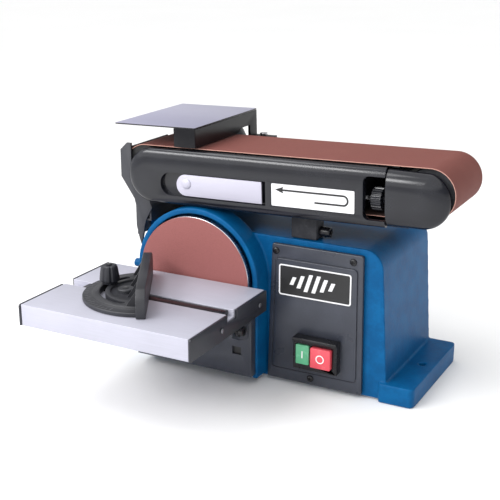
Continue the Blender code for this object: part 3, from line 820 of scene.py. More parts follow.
@dataclass
class Machine:
    """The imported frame, and what each piece has to know about it."""

    frame: dict
    bodies: dict[str, str] = field(default_factory=dict)
    slots: dict[str, str] = field(default_factory=dict)

    def __post_init__(self) -> None:
        """Look up each node's body and material slot."""
        record = self.frame["record"]
        for body, nodes in record["behaviour"]["bodies"].items():
            for node in nodes:
                self.bodies[node] = body
        for part in record["subparts"]:
            self.slots[part["node"]] = part["material_slot"]

    def mount(self, item: bpy.types.Object, node: str, *others: str) -> bpy.types.Object:
        """Let a piece stand for a node.

        Args:
            item: The piece.
            node: The node that it replaces and whose body it rides on.
            *others: Further nodes that it replaces.

        Returns:
            The piece.
        """
        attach(item, self.bodies[node])
        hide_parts(node, *others)
        LOG.info("%s stands for %s", item.name, node)
        return item

    def attach(self, item: bpy.types.Object, node: str) -> bpy.types.Object:
        """Let a small detail ride with a node without replacing it.

        Args:
            item: The detail.
            node: The node whose body it rides on.

        Returns:
            The detail.
        """
        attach(item, self.bodies[node])
        LOG.info("%s is fixed to %s", item.name, node)
        return item

    def dress(self, node: str, finish: Finish) -> None:
        """Give a node a finish.

        Args:
            node: The node.
            finish: Its finish.
        """
        mesh = self.frame["nodes"][node].data
        mesh.materials.clear()
        mesh.materials.append(finish.material)
        LOG.info("%s is dressed in %s", node, finish.name)

    def refine(self, node: str, finish: Finish, width: float = 0.5,
               segments: int = 2) -> bpy.types.Object:
        """Stand a copy with rounded edges in for a node.

        Args:
            node: The node.
            finish: The copy's finish.
            width: How far its edges are rounded, in millimetres.
            segments: How many facets each rounded edge has.

        Returns:
            The copy.
        """
        shape = bmesh.new()
        shape.from_mesh(self.frame["nodes"][node].data)
        bmesh.ops.remove_doubles(shape, verts=shape.verts, dist=WELD)
        bmesh.ops.dissolve_limit(shape, angle_limit=math.radians(FLAT), verts=shape.verts,
                                 edges=shape.edges)
        mesh = bpy.data.meshes.new("fine_" + node)
        shape.to_mesh(mesh)
        shape.free()
        mesh.materials.append(finish.material)
        item = bpy.data.objects.new("fine_" + node, mesh)
        bpy.context.scene.collection.objects.link(item)
        bevel(item, width, segments)
        return self.mount(smooth(item), node)


# -------------------------------------------------------------------------------- the base


@dataclass
class BaseCasting:
    """The blue casting with the disc's arched shroud and its two feet."""

    machine: Machine
    left: float = -86.0
    right: float = 241.0
    front: float = -79.0
    back: float = 79.0
    top: float = 184.0
    floor: float = 2.3
    wall: float = 5.0
    disc_height: float = 128.5
    shroud_radius: float = 84.2
    shroud_bore: float = 77.5
    shroud_front: float = -108.0
    shroud_foot: float = 8.0
    right_shoulder: float = 24.0
    left_shoulder: float = 8.0
    foot_height: float = 24.0
    left_foot: tuple[Point2, Point2] = ((-120, -60), (-80, 81))
    foot_hollow: float = 15.0
    hollow_plans: tuple[tuple[Point2, Point2], ...] = (((245, -78), (270, 76)),
                                                       ((-116, -56), (-89, 77)))
    bolt_radius: float = 4.5
    bolt_places: tuple[Point2, Point2] = ((259, -5), (-104, 10))
    shaft_radius: float = 14.0
    voxel: float = 1.25

    def outline(self, inset: float, floor: float) -> list[Point2]:
        """Return the tapered front outline, moved inwards.

        Args:
            inset: How far it is moved inwards.
            floor: The height of its lower edge.

        Returns:
            The outline.
        """
        right = arc((207, self.top - self.right_shoulder), self.right_shoulder - inset, 0, 90, 12)
        left = arc((-76.5, self.top - self.left_shoulder), self.left_shoulder - min(inset, 5),
                   90, 180, 6)
        return [(self.right - inset, floor)] + right + left + [(self.left + inset, floor)]

    def arch(self, radius: float, foot: float) -> list[Point2]:
        """Return the shroud's arch on its two legs.

        Args:
            radius: The arch's radius.
            foot: The height at which its legs end.

        Returns:
            The outline.
        """
        return ([(radius, foot)] + arc((0, self.disc_height), radius, 0, 180, 56)
                + [(-radius, foot)])

    def build(self) -> bpy.types.Object:
        """Return the casting, melted together so that its edges are soft.

        Returns:
            The casting.
        """
        body = slab("base_casting", self.outline(0, self.floor), Plane.FRONT, self.front, self.back,
                    Finish.BLUE)
        shroud = slab("shroud", self.arch(self.shroud_radius, self.shroud_foot), Plane.FRONT,
                      self.shroud_front, self.front + 2, None)
        right = slab("right_foot", self.foot_outline(), Plane.TOP, 0, self.foot_height, None)
        left = slab("left_foot", rounded_box(*self.left_foot, 5), Plane.TOP, 0,
                    self.foot_height, None)
        boss = revolve("boss", [(5.5, -97), (5.5, -84)], (0, -95, 127), Axis.X, None, sides=24)
        carve(body, shroud, right, left, boss, operation="UNION")
        hollow = slab("hollow", self.outline(self.wall, -1), Plane.FRONT, self.front + self.wall,
                      self.back - self.wall, None)
        space = slab("space", self.arch(self.shroud_bore, -1), Plane.FRONT, self.shroud_front - 1,
                     self.front, None)
        voids = [slab("void", rounded_box(low, high, 3), Plane.TOP, -1, self.foot_hollow, None)
                 for low, high in self.hollow_plans]
        bore = [(self.bolt_radius, 10), (self.bolt_radius, 30)]
        holes = [revolve("hole", bore, (x, y, 0), Axis.Z, None, sides=24)
                 for x, y in self.bolt_places]
        shaft = revolve("shaft_way", [(self.shaft_radius, -85), (self.shaft_radius, 85)],
                        (0, 0, self.disc_height), Axis.Y, None)
        carve(body, hollow, space, *voids, *holes, shaft)
        tool(body, "melt", "REMESH", mode="VOXEL", voxel_size=self.voxel * MM,
             use_smooth_shade=True)
        tool(body, "ease", "SMOOTH", factor=0.5, iterations=5)
        body.data.materials.clear()
        body.data.materials.append(Finish.BLUE.material)
        body.data.shade_smooth()
        return body

    @staticmethod
    def foot_outline() -> list[Point2]:
        """Return the right foot's plan, with rounded outer corners."""
        return ([(232, -83.5)] + arc((268, -76.5), 7, -90, 0, 5) + arc((268, 74), 7, 0, 90, 5)
                + [(232, 81)])

    def dress(self) -> None:
        """Stand the casting in its place and dress the plate under it."""
        self.machine.mount(self.build(), "base_housing")
        self.machine.dress("bottom_plate", Finish.STEEL)


@dataclass
class SwitchPanel:
    """The switch plate with its screws, nameplate, switch box and buttons."""

    machine: Machine
    rim: tuple[Point2, ...] = ((211.2, 4.2), (208.5, 177.3), (92.2, 177.3), (86.5, 4.2))
    groove: tuple[Point2, ...] = ((205.4, 18.4), (203.5, 161.6), (97.0, 161.6), (92.4, 18.4))
    raised: tuple[Point2, ...] = ((203.8, 20), (202, 160), (98.4, 160), (94, 20))
    back: float = -79.3
    face: float = -85.0
    panel: float = -86.0
    box_face: float = -94.5
    start_face: float = -98.5
    stop_face: float = -102.5
    screws: tuple[Point2, ...] = ((97.6, 168.7), (196.7, 168.7), (145.0, 12.3))
    screw_radius: float = 4.3
    badge: tuple[Point2, Point2] = ((102.5, 115.0), (195.5, 153.5))
    green: tuple[Point2, Point2] = ((131.0, 35.2), (148.6, 60.3))
    red: tuple[Point2, Point2] = ((151.8, 35.2), (177.6, 60.3))
    bar: tuple[Point2, Point2] = ((139.1, 43.2), (140.5, 52.4))
    ring_centre: Point3 = (164.7, 0, 47.8)

    @staticmethod
    def soft_quad(corners: Sequence[Point2], radius: float, steps: int = 5) -> list[Point2]:
        """Return a four-cornered outline with its corners rounded.

        Args:
            corners: Its four corners.
            radius: How far from a corner the rounding starts.
            steps: How many chords each corner has.

        Returns:
            The outline.
        """
        points: list[Point2] = []
        for index, corner in enumerate(corners):
            here = Vector(corner)
            before = (Vector(corners[index - 1]) - here).normalized() * radius
            after = (Vector(corners[(index + 1) % 4]) - here).normalized() * radius
            for step in range(steps + 1):
                t = step / steps
                spot = here + before * (1 - t) ** 2 + after * t ** 2
                points.append((spot.x, spot.y))
        return points

    def build_plate(self) -> bpy.types.Object:
        """Return the plate with a groove around its raised panel.

        Returns:
            The plate.
        """
        plate = slab("switch_plate_moulding", self.soft_quad(self.rim, 3.0), Plane.FRONT,
                     self.face, self.back, Finish.PANEL_PLASTIC)
        bevel(plate, 1.3, 3)
        carve(plate, slab("groove", self.soft_quad(self.groove, 5.0), Plane.FRONT,
                          self.face - 1, self.face + 0.9, None))
        raised = slab("raised_panel", self.soft_quad(self.raised, 5.0), Plane.FRONT, self.panel,
                      self.face + 2, Finish.PANEL_PLASTIC)
        bevel(raised, 0.9, 3)
        return smooth(fuse("switch_plate_moulding", [plate, raised]))

    def build_screw(self, number: int, place: Point2) -> bpy.types.Object:
        """Return a domed screw with a cross recess.

        Args:
            number: The screw's number.
            place: Its place on the plate.

        Returns:
            The screw.
        """
        base = self.face - 0.3
        radius = self.screw_radius
        dome = [(radius, base)] + [(radius * math.cos(a), base - 0.6 - 1.7 * math.sin(a))
                                   for a in (0.0, 0.35, 0.7, 1.05, 1.35)] + [(0.02, base - 2.32)]
        screw = revolve(f"panel_screw_{number}", dome, (place[0], 0, place[1]), Axis.Y,
                        Finish.BLACK_PAINT, sides=32)
        for width, height in ((1.1, 4.6), (4.6, 1.1)):
            low = (place[0] - width / 2, place[1] - height / 2)
            high = (place[0] + width / 2, place[1] + height / 2)
            carve(screw, slab("recess", rounded_box(low, high, 0.2, 1), Plane.FRONT, base - 4,
                              base - 1.0, None))
        return smooth(screw)

    def build_badge(self) -> bpy.types.Object:
        """Return the generic nameplate: a thin border around slanted bars.

        Returns:
            The nameplate.
        """
        low, high = self.badge
        outer = rounded_box(low, high, 3)
        inner = rounded_box((low[0] + 1.6, low[1] + 1.6), (high[0] - 1.6, high[1] - 1.6), 2)
        rings = [[Plane.FRONT.lift(point, depth) for point in outline]
                 for outline, depth in ((outer, self.panel - 0.3), (outer, self.panel - 0.9),
                                        (inner, self.panel - 0.9), (inner, self.panel - 0.3))]
        pieces = [loft("nameplate", rings, Finish.LABEL, capped=False)]
        backing = rounded_box((low[0] + 1.3, low[1] + 1.3), (high[0] - 1.3, high[1] - 1.3), 2)
        pieces.append(slab("backing", backing, Plane.FRONT, self.panel - 0.6, self.panel - 0.3,
                           Finish.INK))
        middle = (low[1] + high[1]) / 2
        for index, tall in enumerate((5, 8, 11, 11, 8, 5)):
            x = low[0] + 18.5 + index * 10.0
            bar = [(x - 3.2 - tall * 0.25, middle - tall), (x + 1.6 - tall * 0.25, middle - tall),
                   (x + 3.2 + tall * 0.25, middle + tall), (x - 1.6 + tall * 0.25, middle + tall)]
            pieces.append(slab("bar", bar, Plane.FRONT, self.panel - 0.85, self.panel - 0.5,
                               Finish.LABEL))
        return fuse("nameplate", pieces)

    def build_button(self, name: str, corners: tuple[Point2, Point2], front: float,
                     finish: Finish) -> bpy.types.Object:
        """Return a button cap with rounded edges.

        Args:
            name: The cap's name.
            corners: Its lower left and upper right corners.
            front: The depth of its face.
            finish: Its finish.

        Returns:
            The cap.
        """
        cap = slab(name, rounded_box(*corners, 1.5), Plane.FRONT, front, self.box_face, finish)
        return bevel(cap, 1.0, 3)

    def build_start(self) -> bpy.types.Object:
        """Return the green button with its bar symbol.

        Returns:
            The button.
        """
        cap = self.build_button("start_cap", self.green, self.start_face, Finish.GREEN)
        bar = slab("bar", rounded_box(*self.bar, 0.5, 2), Plane.FRONT,
                   self.start_face - 0.2, self.start_face + 0.3, Finish.SYMBOL)
        return smooth(fuse("start_cap", [cap, bar]))

    def build_stop(self) -> bpy.types.Object:
        """Return the red button with its ring symbol.

        Returns:
            The button.
        """
        cap = self.build_button("stop_cap", self.red, self.stop_face, Finish.RED)
        turn = Matrix.Translation(Vector(self.ring_centre)) @ Axis.Y.turn()
        rings = []
        for radius, depth in ((5.4, -102.2), (5.4, -102.7), (4.0, -102.7), (4.0, -102.2)):
            rings.append([turn @ Vector((radius * math.cos(a), radius * math.sin(a), depth))
                          for a in (2 * math.pi * side / 40 for side in range(40))])
        ring = loft("ring", rings, Finish.SYMBOL, capped=False)
        return smooth(fuse("stop_cap", [cap, ring]))

    def dress(self) -> None:
        """Put every piece of the panel in its place."""
        self.machine.mount(self.build_plate(), "switch_plate")
        for number, place in enumerate(self.screws, 1):
            self.machine.mount(self.build_screw(number, place), f"plate_screw_{number}")
        self.machine.mount(self.build_badge(), "badge_plate")
        self.machine.refine("switch_box", Finish.BLACK_PAINT, 0.9, 3)
        self.machine.mount(self.build_start(), "green_button")
        self.machine.mount(self.build_stop(), "red_button")


# --------------------------------------------------------------------------------- the arm


@dataclass
class ArmCover:
    """The long bulging front cover, its end cap, and what sits in them."""

    machine: Machine
    back: float = -97.0
    front: float = -105.4
    left: float = -99.7
    right: float = 237.4
    bottom: float = 215.6
    top: float = 283.0
    lip: float = 2.0
    cap_back: float = -93.7
    cap_lip: float = -94.5
    cap_bulge: float = 12.3
    bed: tuple[Point2, Point2] = ((98.4, 227.6), (203.7, 256.4))
    label: tuple[Point2, Point2] = ((99.8, 229), (202.3, 255))
    lever_radius: float = 13.2
    knob_centre: Point3 = (0, -85, 244)

    def ring(self, share: float, depth: float) -> list[Vector]:
        """Return one level of the cover's skin, drawn in by a share of its rounding.

        Args:
            share: How much of the rounding is used up, from 0 to 1.
            depth: The level's depth.

        Returns:
            The ring's points.
        """
        top = self.top - 19 * share
        bottom = self.bottom + 10 * share
        radius = (top - bottom) / 2
        centre = (self.left + 13 * share + radius, (top + bottom) / 2)
        outline = arc(centre, radius, 90, 270, 40) + [(self.right, bottom), (self.right, top)]
        return [Plane.FRONT.lift(point, depth) for point in outline]

    def build_cover(self) -> bpy.types.Object:
        """Return the cover with its lever pocket and tracking window.

        Returns:
            The cover.
        """
        lip = self.back - self.lip
        rings = [self.ring(0, self.back), self.ring(0, lip)]
        for step in range(1, 10):
            angle = math.pi / 2 * step / 9
            rings.append(self.ring(1 - math.cos(angle), lip - (lip - self.front) * math.sin(angle)))
        cover = loft("arm_moulding", rings, Finish.ARM_PLASTIC, ARM)
        recess = arc((-37, 241.6), 14.3, 90, 270, 24) + [(91.6, 227.3), (91.6, 255.9)]
        pocket = slab("pocket", recess, Plane.FRONT, -110, -99, None, ARM)
        window = slab("window", arc((219, 266), 7, 90, 180, 6) + arc((219, 230.6), 7, 180, 270, 6)
                      + [(245, 223.6), (245, 273)], Plane.FRONT, -110, -90, None, ARM)
        bed = slab("label_bed", rounded_box(*self.bed, 1.5), Plane.FRONT, -110, -105, None, ARM)
        carve(cover, pocket, window, bed)
        bevel(cover, 1.0, 3, 40)
        return smooth(cover, 30)

    def cap_ring(self, share: float, depth: float) -> list[Vector]:
        """Return one level of the end cap's skin.

        Args:
            share: How much of the rounding is used up, from 0 to 1.
            depth: The level's depth.

        Returns:
            The ring's points.
        """
        centre = (277 - 5 * share, 249)
        radius = 32 - 24 * share
        outline = ([(238.4, 281 - 23 * share), (238.4, 217 + 22 * share)]
                   + arc(centre, radius, -90, 72, 40))
        return [Plane.FRONT.lift(point, depth) for point in outline]

    def build_cap(self) -> bpy.types.Object:
        """Return the domed end cap.

        Returns:
            The end cap.
        """
        rings = [self.cap_ring(0, self.cap_back), self.cap_ring(0, self.cap_lip)]
        for step in range(1, 17):
            angle = math.pi / 2 * step / 16
            depth = self.cap_lip - self.cap_bulge * math.sin(angle)
            rings.append(self.cap_ring(1 - math.cos(angle), depth))
        return smooth(loft("arm_end_dome", rings, Finish.ARM_PLASTIC, ARM), 50)

    def build_label(self) -> bpy.types.Object:
        """Return the label with a generic belt direction arrow.

        Returns:
            The label.
        """
        plate = slab("belt_label", rounded_box(*self.label, 1.2), Plane.FRONT, -105.75, -105.3,
                     Finish.LABEL, ARM)
        half = 1.1  # half the width of the arrow's line
        high, low, turn_x = 248.2, 237.2, 189.0
        middle, radius = (high + low) / 2, (high - low) / 2
        outside = arc((turn_x, middle), radius + half, -90, 90, 20)
        inside = arc((turn_x, middle), radius - half, 90, -90, 20)
        track = ([(154.0, low - half)] + outside + [(113.0, high + half), (113.0, high - half)]
                 + inside + [(154.0, low + half)])
        head = [(104.5, high), (115.5, high + 4.0), (113.5, high), (115.5, high - 4.0)]
        marks = [slab("mark", outline, Plane.FRONT, -105.9, -105.6, Finish.INK, ARM)
                 for outline in (track, head)]
        return fuse("belt_label", [plate, *marks])

    def build_lever(self) -> bpy.types.Object:
        """Return the tension lever with the boss at its round end.

        Returns:
            The lever.
        """
        outline = (arc((-16, 241.6), self.lever_radius, 90, 270, 28)
                   + [(86.3, 228.4), (86.3, 254.8)])
        plate = slab("lever_plate", outline, Plane.FRONT, -104.6, -102.1, Finish.SILVER, ARM, 0.7)
        dome = [(6.6, -104.2)] + [(6.6 * math.cos(a), -104.5 - 2.6 * math.sin(a))
                                  for a in (0.2, 0.45, 0.7, 0.95, 1.2, 1.4)] + [(0.02, -107.12)]
        boss = revolve("boss", dome, (-15, 0, 243.6), Axis.Y, Finish.SILVER, ARM, 40)
        return smooth(fuse("lever_plate", [plate, boss]))

    def build_knob(self) -> bpy.types.Object:
        """Return the toothed tracking knob on its screw.

        Returns:
            The knob.
        """
        def teeth(angle: float) -> float:
            """Return the radius factor of coarse teeth."""
            return 1.0 + 0.05 * math.tanh(3.0 * math.sin(18 * angle))
        tread = [(10.6, 217.2), (12.6, 218.2), (12.6, 229.6), (10.6, 230.6)]
        wheel = revolve("tracking_wheel", tread, self.knob_centre, Axis.X, Finish.ARM_PLASTIC,
                        ARM, 216, teeth)
        hub = revolve("hub", [(5.8, 214.6), (6.4, 215.4), (6.4, 231.0), (5.8, 231.6)],
                      self.knob_centre, Axis.X, Finish.ARM_PLASTIC, ARM, 32)
        thread = [(3.0 - 0.35 * (step % 2), 209 + step * 0.5) for step in range(50)]
        screw = revolve("thread", thread, self.knob_centre, Axis.X, Finish.STEEL, ARM, 24)
        return smooth(fuse("tracking_wheel", [wheel, hub, screw]))

    def dress(self) -> None:
        """Put the cover's pieces in their places."""
        self.machine.mount(self.build_cover(), "arm_cover")
        self.machine.mount(self.build_cap(), "arm_end_cap")
        self.machine.mount(self.build_label(), "arm_label")
        self.machine.mount(self.build_lever(), "tension_lever")
        self.machine.mount(self.build_knob(), "tracking_knob")


@dataclass
class BeltRun:
    """The abrasive belt, its platen, drums, frame and tension fork."""

    machine: Machine
    left: Point2 = (-80.2, 255.5)
    right: Point2 = (283.8, 255.5)
    outer: float = 29.6
    inner: float = 28.8
    front: float = -93.0
    back: float = 7.0
    edge: float = 0.3

    def loop(self, radius: float) -> list[Point2]:
        """Return the belt's path at one radius."""
        return arc(self.right, radius, -90, 90, 48) + arc(self.left, radius, 90, 270, 48)

    def build_belt(self) -> bpy.types.Object:
        """Return the belt: grit outside, pale cloth on its edges, and painted shade on its inside.

        Returns:
            The belt.
        """
        levels = ((self.outer - self.edge, self.front), (self.outer, self.front + self.edge),
                  (self.outer, self.back - self.edge), (self.outer - self.edge, self.back),
                  (self.inner, self.back), (self.inner, self.front))
        rings = [[Plane.FRONT.lift(point, depth) for point in self.loop(radius)]
                 for radius, depth in levels]
        belt = loft("abrasive_belt", rings, Finish.BELT, ARM, capped=False)
        belt.data.materials.append(Finish.CLOTH.material)
        # The inside face gets the darkened cloth: painted shade.
        belt.data.materials.append(Finish.BELT_BACK.material)
        count = len(rings[0])
        for index, face in enumerate(belt.data.polygons):
            face.material_index = {1: 0, 4: 2}.get(index // count, 1)
        return smooth(belt)

    def dress(self) -> None:
        """Put the belt's pieces in their places."""
        self.machine.mount(self.build_belt(), "sanding_belt")
        self.machine.dress("drive_drum", Finish.RUBBER)
        self.machine.dress("idler_drum", Finish.IRON)
        self.machine.dress("platen", Finish.BLACK_PAINT)
        for node in ("idler_axle", "drum_shaft"):
            self.machine.dress(node, Finish.STEEL)
        self.machine.refine("tension_fork", Finish.BLACK_PAINT, 0.6)
        self.machine.refine("arm_frame", Finish.BLACK_PAINT, 0.6)


@dataclass
class WorkStop:
    """The stop across the belt: wall, top plate and screw."""

    machine: Machine
    low: Point2 = (-116.6, -101.0)
    high: Point2 = (-2.6, 57.0)
    under: float = 309.5
    over: float = 311.2

    def build_plate(self) -> bpy.types.Object:
        """Return the top plate: silver above, with dark edges.

        Returns:
            The plate.
        """
        plate = slab("stop_sheet", rounded_box(self.low, self.high, 1.5, 3), Plane.TOP, self.under,
                     self.over, Finish.STOP_SILVER, ARM)
        plate.data.materials.append(Finish.BLACK_PAINT.material)
        for face in plate.data.polygons:
            face.material_index = 0 if face.normal.z > 0.9 else 1
        return bevel(plate, 0.35, 2)

    def dress(self) -> None:
        """Put the stop's pieces in their places."""
        self.machine.mount(smooth(self.build_plate()), "stop_plate")
        self.machine.refine("stop_wall", Finish.STOP_BLACK, 1.0, 3)
        self.machine.refine("stop_screw", Finish.STEEL, 0.4)


@dataclass
class HoodAndStand:
    """The dust hood, the rest block and the stand behind the arm."""

    machine: Machine

    def dress(self) -> None:
        """Put the pieces around the drum in their places."""
        self.machine.refine("dust_hood", Finish.HOOD_PLASTIC, 0.6, 2)
        self.machine.refine("arm_rest_block", Finish.IRON, 0.5)
        self.machine.refine("arm_rest_bolt", Finish.BLACK_PAINT, 0.5)
        self.machine.refine("pivot_pedestal", Finish.IRON, 1.2, 3)
        self.machine.dress("drum_bearing", Finish.STEEL)


@dataclass
class DiscDrive:
    """The disc, the motor and the belt drive behind the base."""

    machine: Machine
    radius: float = 75.0
    height: float = 128.5
    face: float = -115.0

    def build_disc(self) -> bpy.types.Object:
        """Return the abrasive disc, with a soft rim.

        Returns:
            The disc.
        """
        soft = self.radius - 0.3
        profile = [(soft, self.face + 0.75), (self.radius, self.face + 0.45),
                   (self.radius, self.face + 0.3), (soft, self.face), (0.05, self.face)]
        return smooth(revolve("abrasive_disc", profile, (0, 0, self.height), Axis.Y, Finish.DISC,
                              sides=160))

    def build_back(self) -> bpy.types.Object:
        """Return the disc's aluminium plate and hub.

        Returns:
            The plate.
        """
        back = self.face + 1.1
        profile = [(6.2, back + 22.9), (15, back + 22.9), (15, back + 7),
                   (self.radius - 0.8, back + 7), (self.radius, back + 6.2),
                   (self.radius, back + 0.8), (self.radius - 0.8, back), (0.05, back)]
        return smooth(revolve("disc_backing", profile, (0, 0, self.height), Axis.Y,
                              Finish.ALUMINIUM_TURNED, sides=160), 30)

    def dress(self) -> None:
        """Put the drive's pieces in their places."""
        self.machine.mount(self.build_disc(), "sanding_disc")
        self.machine.mount(self.build_back(), "disc_plate")
        self.machine.refine("rear_cover", Finish.ARM_PLASTIC, 0.8, 2)
        finishes = {
            Finish.ALUMINIUM_TURNED: ("motor_can", "motor_pulley", "drum_pulley"),
            Finish.STEEL: ("motor_shaft", "rotor", "bearing_front", "bearing_rear"),
            Finish.BLACK_PAINT: ("motor_cradle",),
            Finish.COPPER: ("stator_core",),
            Finish.RUBBER: ("drive_belt", "cable_gland"),
        }
        for finish, nodes in finishes.items():
            for node in nodes:
                self.machine.dress(node, finish)


# ------------------------------------------------------------------------------- the table


@dataclass
class Table:
    """The tilting table, its caps, trunnions, bracket and tilt bolts."""

    machine: Machine
    # Corners of a black sheet over the guard's hole: painted shade for the hole's dark inside.
    painted_shade: tuple[Point2, Point2] = ((54, 38.5), (70, 52.5))

    def dress(self) -> None:
        """Put the table's pieces in their places."""
        self.machine.refine("table_top", Finish.ALUMINIUM, 0.5, 3)
        for side in ("left", "right"):
            self.machine.refine(f"table_cap_{side}", Finish.CAP_PLASTIC, 0.6, 3)
            self.machine.refine(f"trunnion_{side}", Finish.BLACK_PAINT, 0.4)
            self.machine.refine(f"tilt_lock_{side}", Finish.BLACK_PAINT, 0.4)
            for number in (1, 2):
                self.machine.refine(f"cap_screw_{side}_{number}", Finish.ZINC, 0.4)
        self.machine.refine("table_bracket", Finish.PANEL_PLASTIC, 0.8, 3)
        # Painted shade: a black sheet laid over the guard's hole where there is only shadow.
        painted_shade = slab("guard_hole_painted_shade", rounded_box(*self.painted_shade, 2), Plane.FRONT, -115.9,
                      -114.6, Finish.INK)
        self.machine.attach(painted_shade, "table_bracket")


@dataclass
class MitreGauge:
    """The gauge: guide bar, protractor head, scale marks and clamp knob."""

    machine: Machine
    centre: Point2 = (-15.0, -201.0)
    turn: float = 30.0
    floor: float = 129.8
    rim: float = 70.0
    groove: float = 47.0
    groove_half: float = 3.2
    groove_swing: float = 63.2
    fence: tuple[float, float] = (-4.0, 7.0)
    ribs: tuple[float, ...] = (-52, -18, 18, 52)
    mark_span: int = 60
    mark_step: int = 5

    def plan(self, x: float, y: float) -> Point2:
        """Return the place of a point in the gauge's own plan.

        Args:
            x: Its distance across the fence.
            y: Its distance along the fence.

        Returns:
            The place in the machine.
        """
        angle = math.radians(self.turn)
        return (self.centre[0] + x * math.cos(angle) - y * math.sin(angle),
                self.centre[1] + x * math.sin(angle) + y * math.cos(angle))

    def half_disc(self, radius: float, flat: float) -> list[Point2]:
        """Return the plan of a half disc that ends on the fence."""
        points = arc((0, 0), radius, 90, 270, 64) + [(flat, -radius), (flat, radius)]
        return [self.plan(*point) for point in points]

    def groove_plan(self) -> list[Point2]:
        """Return the plan of the curved slot with its round ends.

        Returns:
            The outline.
        """
        half, swing = self.groove_half, self.groove_swing
        first, last = 180 + self.turn - swing, 180 + self.turn + swing
        ends = []
        for angle in (math.radians(last), math.radians(first)):
            ends.append((self.centre[0] + self.groove * math.cos(angle),
                         self.centre[1] + self.groove * math.sin(angle)))
        outer = arc(self.centre, self.groove + half, first, last, 40)
        inner = arc(self.centre, self.groove - half, last, first, 40)
        return (outer + arc(ends[0], half, last, last + 180, 8)[1:-1] + inner
                + arc(ends[1], half, first + 180, first + 360, 8)[1:-1])

    def build_head(self) -> bpy.types.Object:
        """Return the protractor head with its stepped rim, curved slot and sunken middle.

        Returns:
            The head.
        """
        levels = ((self.rim, 0.0), (self.rim, 3.8), (self.rim - 0.8, 4.6), (60.0, 4.6),
                  (58.8, 5.2), (58.3, 6.6), (57.0, 7.5))
        rings = [[Vector((*point, self.floor + rise)) for point in self.half_disc(radius, 3)]
                 for radius, rise in levels]
        head = loft("protractor", rings, Finish.GAUGE_PLASTIC)
        groove = slab("groove", self.groove_plan(), Plane.TOP, self.floor - 2,
                      self.floor + 12, None)
        sunk = [self.plan(*point) for point in arc((0, 0), 38.0, 108, 252, 48)]
        well = slab("well", sunk, Plane.TOP, self.floor + 5.0, self.floor + 9, None)
        bevel(carve(head, groove, well), 0.5, 2, 50)
        spot = (*self.plan(-20, 0), 0)
        boss = revolve("boss", [(9.6, self.floor + 4), (9.6, self.floor + 8.6),
                                (8.8, self.floor + 9.6)], spot, Axis.Z, Finish.GAUGE_PLASTIC)
        screw = revolve("screw", [(4.2, self.floor + 9), (4.2, self.floor + 9.7),
                                  (3.4, self.floor + 10)], spot, Axis.Z, Finish.BLACK_PAINT,
                        sides=6)
        return fuse("protractor", [head, boss, screw])

    def build_fence(self) -> bpy.types.Object:
        """Return the fence with its chamfered ends and stiffening ribs.

        Returns:
            The fence.
        """
        side = [(-76, self.floor), (76, self.floor), (76, 150), (73, 155), (66, 161), (-66, 161),
                (-73, 155), (-76, 150)]
        rings = [[Vector((*self.plan(x, y), z)) for y, z in side] for x in self.fence]
        fence = loft("fence", rings, Finish.GAUGE_PLASTIC)
        bevel(fence, 1.0, 3)
        web = ((-3, self.floor + 5), (-17, self.floor + 5), (-3, 157))
        ribs = []
        for y in self.ribs:
            sides = [[Vector((*self.plan(x, y + half), z)) for x, z in web] for half in (-1.5, 1.5)]
            ribs.append(loft("rib", sides, Finish.GAUGE_PLASTIC))
        return fuse("fence", [fence, *ribs])

    def build_scale(self) -> list[bpy.types.Object]:
        """Return the raised degree marks on the rim, in a lighter grey that is painted highlight.

        Returns:
            The marks.
        """
        marks = []
        for degrees in range(-self.mark_span, self.mark_span + 1, self.mark_step):
            angle = math.radians(180 + self.turn + degrees)
            inner = 61.0 if degrees % 15 == 0 else 63.5
            along = Vector((math.cos(angle), math.sin(angle)))
            across = Vector((-along.y, along.x)) * 0.45
            start = Vector(self.centre) + along * inner
            end = Vector(self.centre) + along * 68.2
            corners = [tuple(start - across), tuple(end - across), tuple(end + across),
                       tuple(start + across)]
            # The raised ticks get the lighter grey: painted highlight.
            marks.append(slab("mark", corners, Plane.TOP, self.floor + 4.4, self.floor + 4.8,
                              Finish.SCALE))
        return marks

    def build_knob(self) -> bpy.types.Object:
        """Return the fluted clamp knob on its stud and washer.

        Returns:
            The knob.
        """
        def flutes(angle: float) -> float:
            """Return the radius factor of eight flutes."""
            return 1.0 - 0.085 * max(0.0, math.cos(8 * angle)) ** 1.5
        spot = (self.centre[0] - self.groove, self.centre[1], 0)
        z = self.floor
        grip = revolve("clamp_grip", [(11.0, z + 11), (11.9, z + 12), (11.6, z + 16), (9.9, z + 27),
                                      (9.2, z + 29), (7.6, z + 30)], spot, Axis.Z,
                       Finish.CAP_PLASTIC, sides=160, wave=flutes)
        collar = revolve("collar", [(9.4, z + 8.3), (9.4, z + 11.4)], spot, Axis.Z,
                         Finish.CAP_PLASTIC, sides=48)
        nut = revolve("nut", [(3.6, z + 29.4), (3.6, z + 31.0), (3.0, z + 31.3)], spot, Axis.Z,
                      Finish.BLACK_PAINT, sides=6)
        stud = revolve("stud", [(2.6, 128.6), (2.6, z + 9)], spot, Axis.Z, Finish.STEEL, sides=24)
        return smooth(fuse("clamp_grip", [grip, collar, nut, stud]), 30)

    def dress(self) -> None:
        """Put the gauge's pieces in their places."""
        self.machine.refine("gauge_bar", Finish.BLACK_PAINT, 0.5)
        head = fuse("protractor_head", [self.build_head(), self.build_fence(), *self.build_scale()])
        self.machine.mount(smooth(head, 35), "gauge_head")
        self.machine.mount(self.build_knob(), "gauge_knob")


# ------------------------------------------------------------------------------ the studio


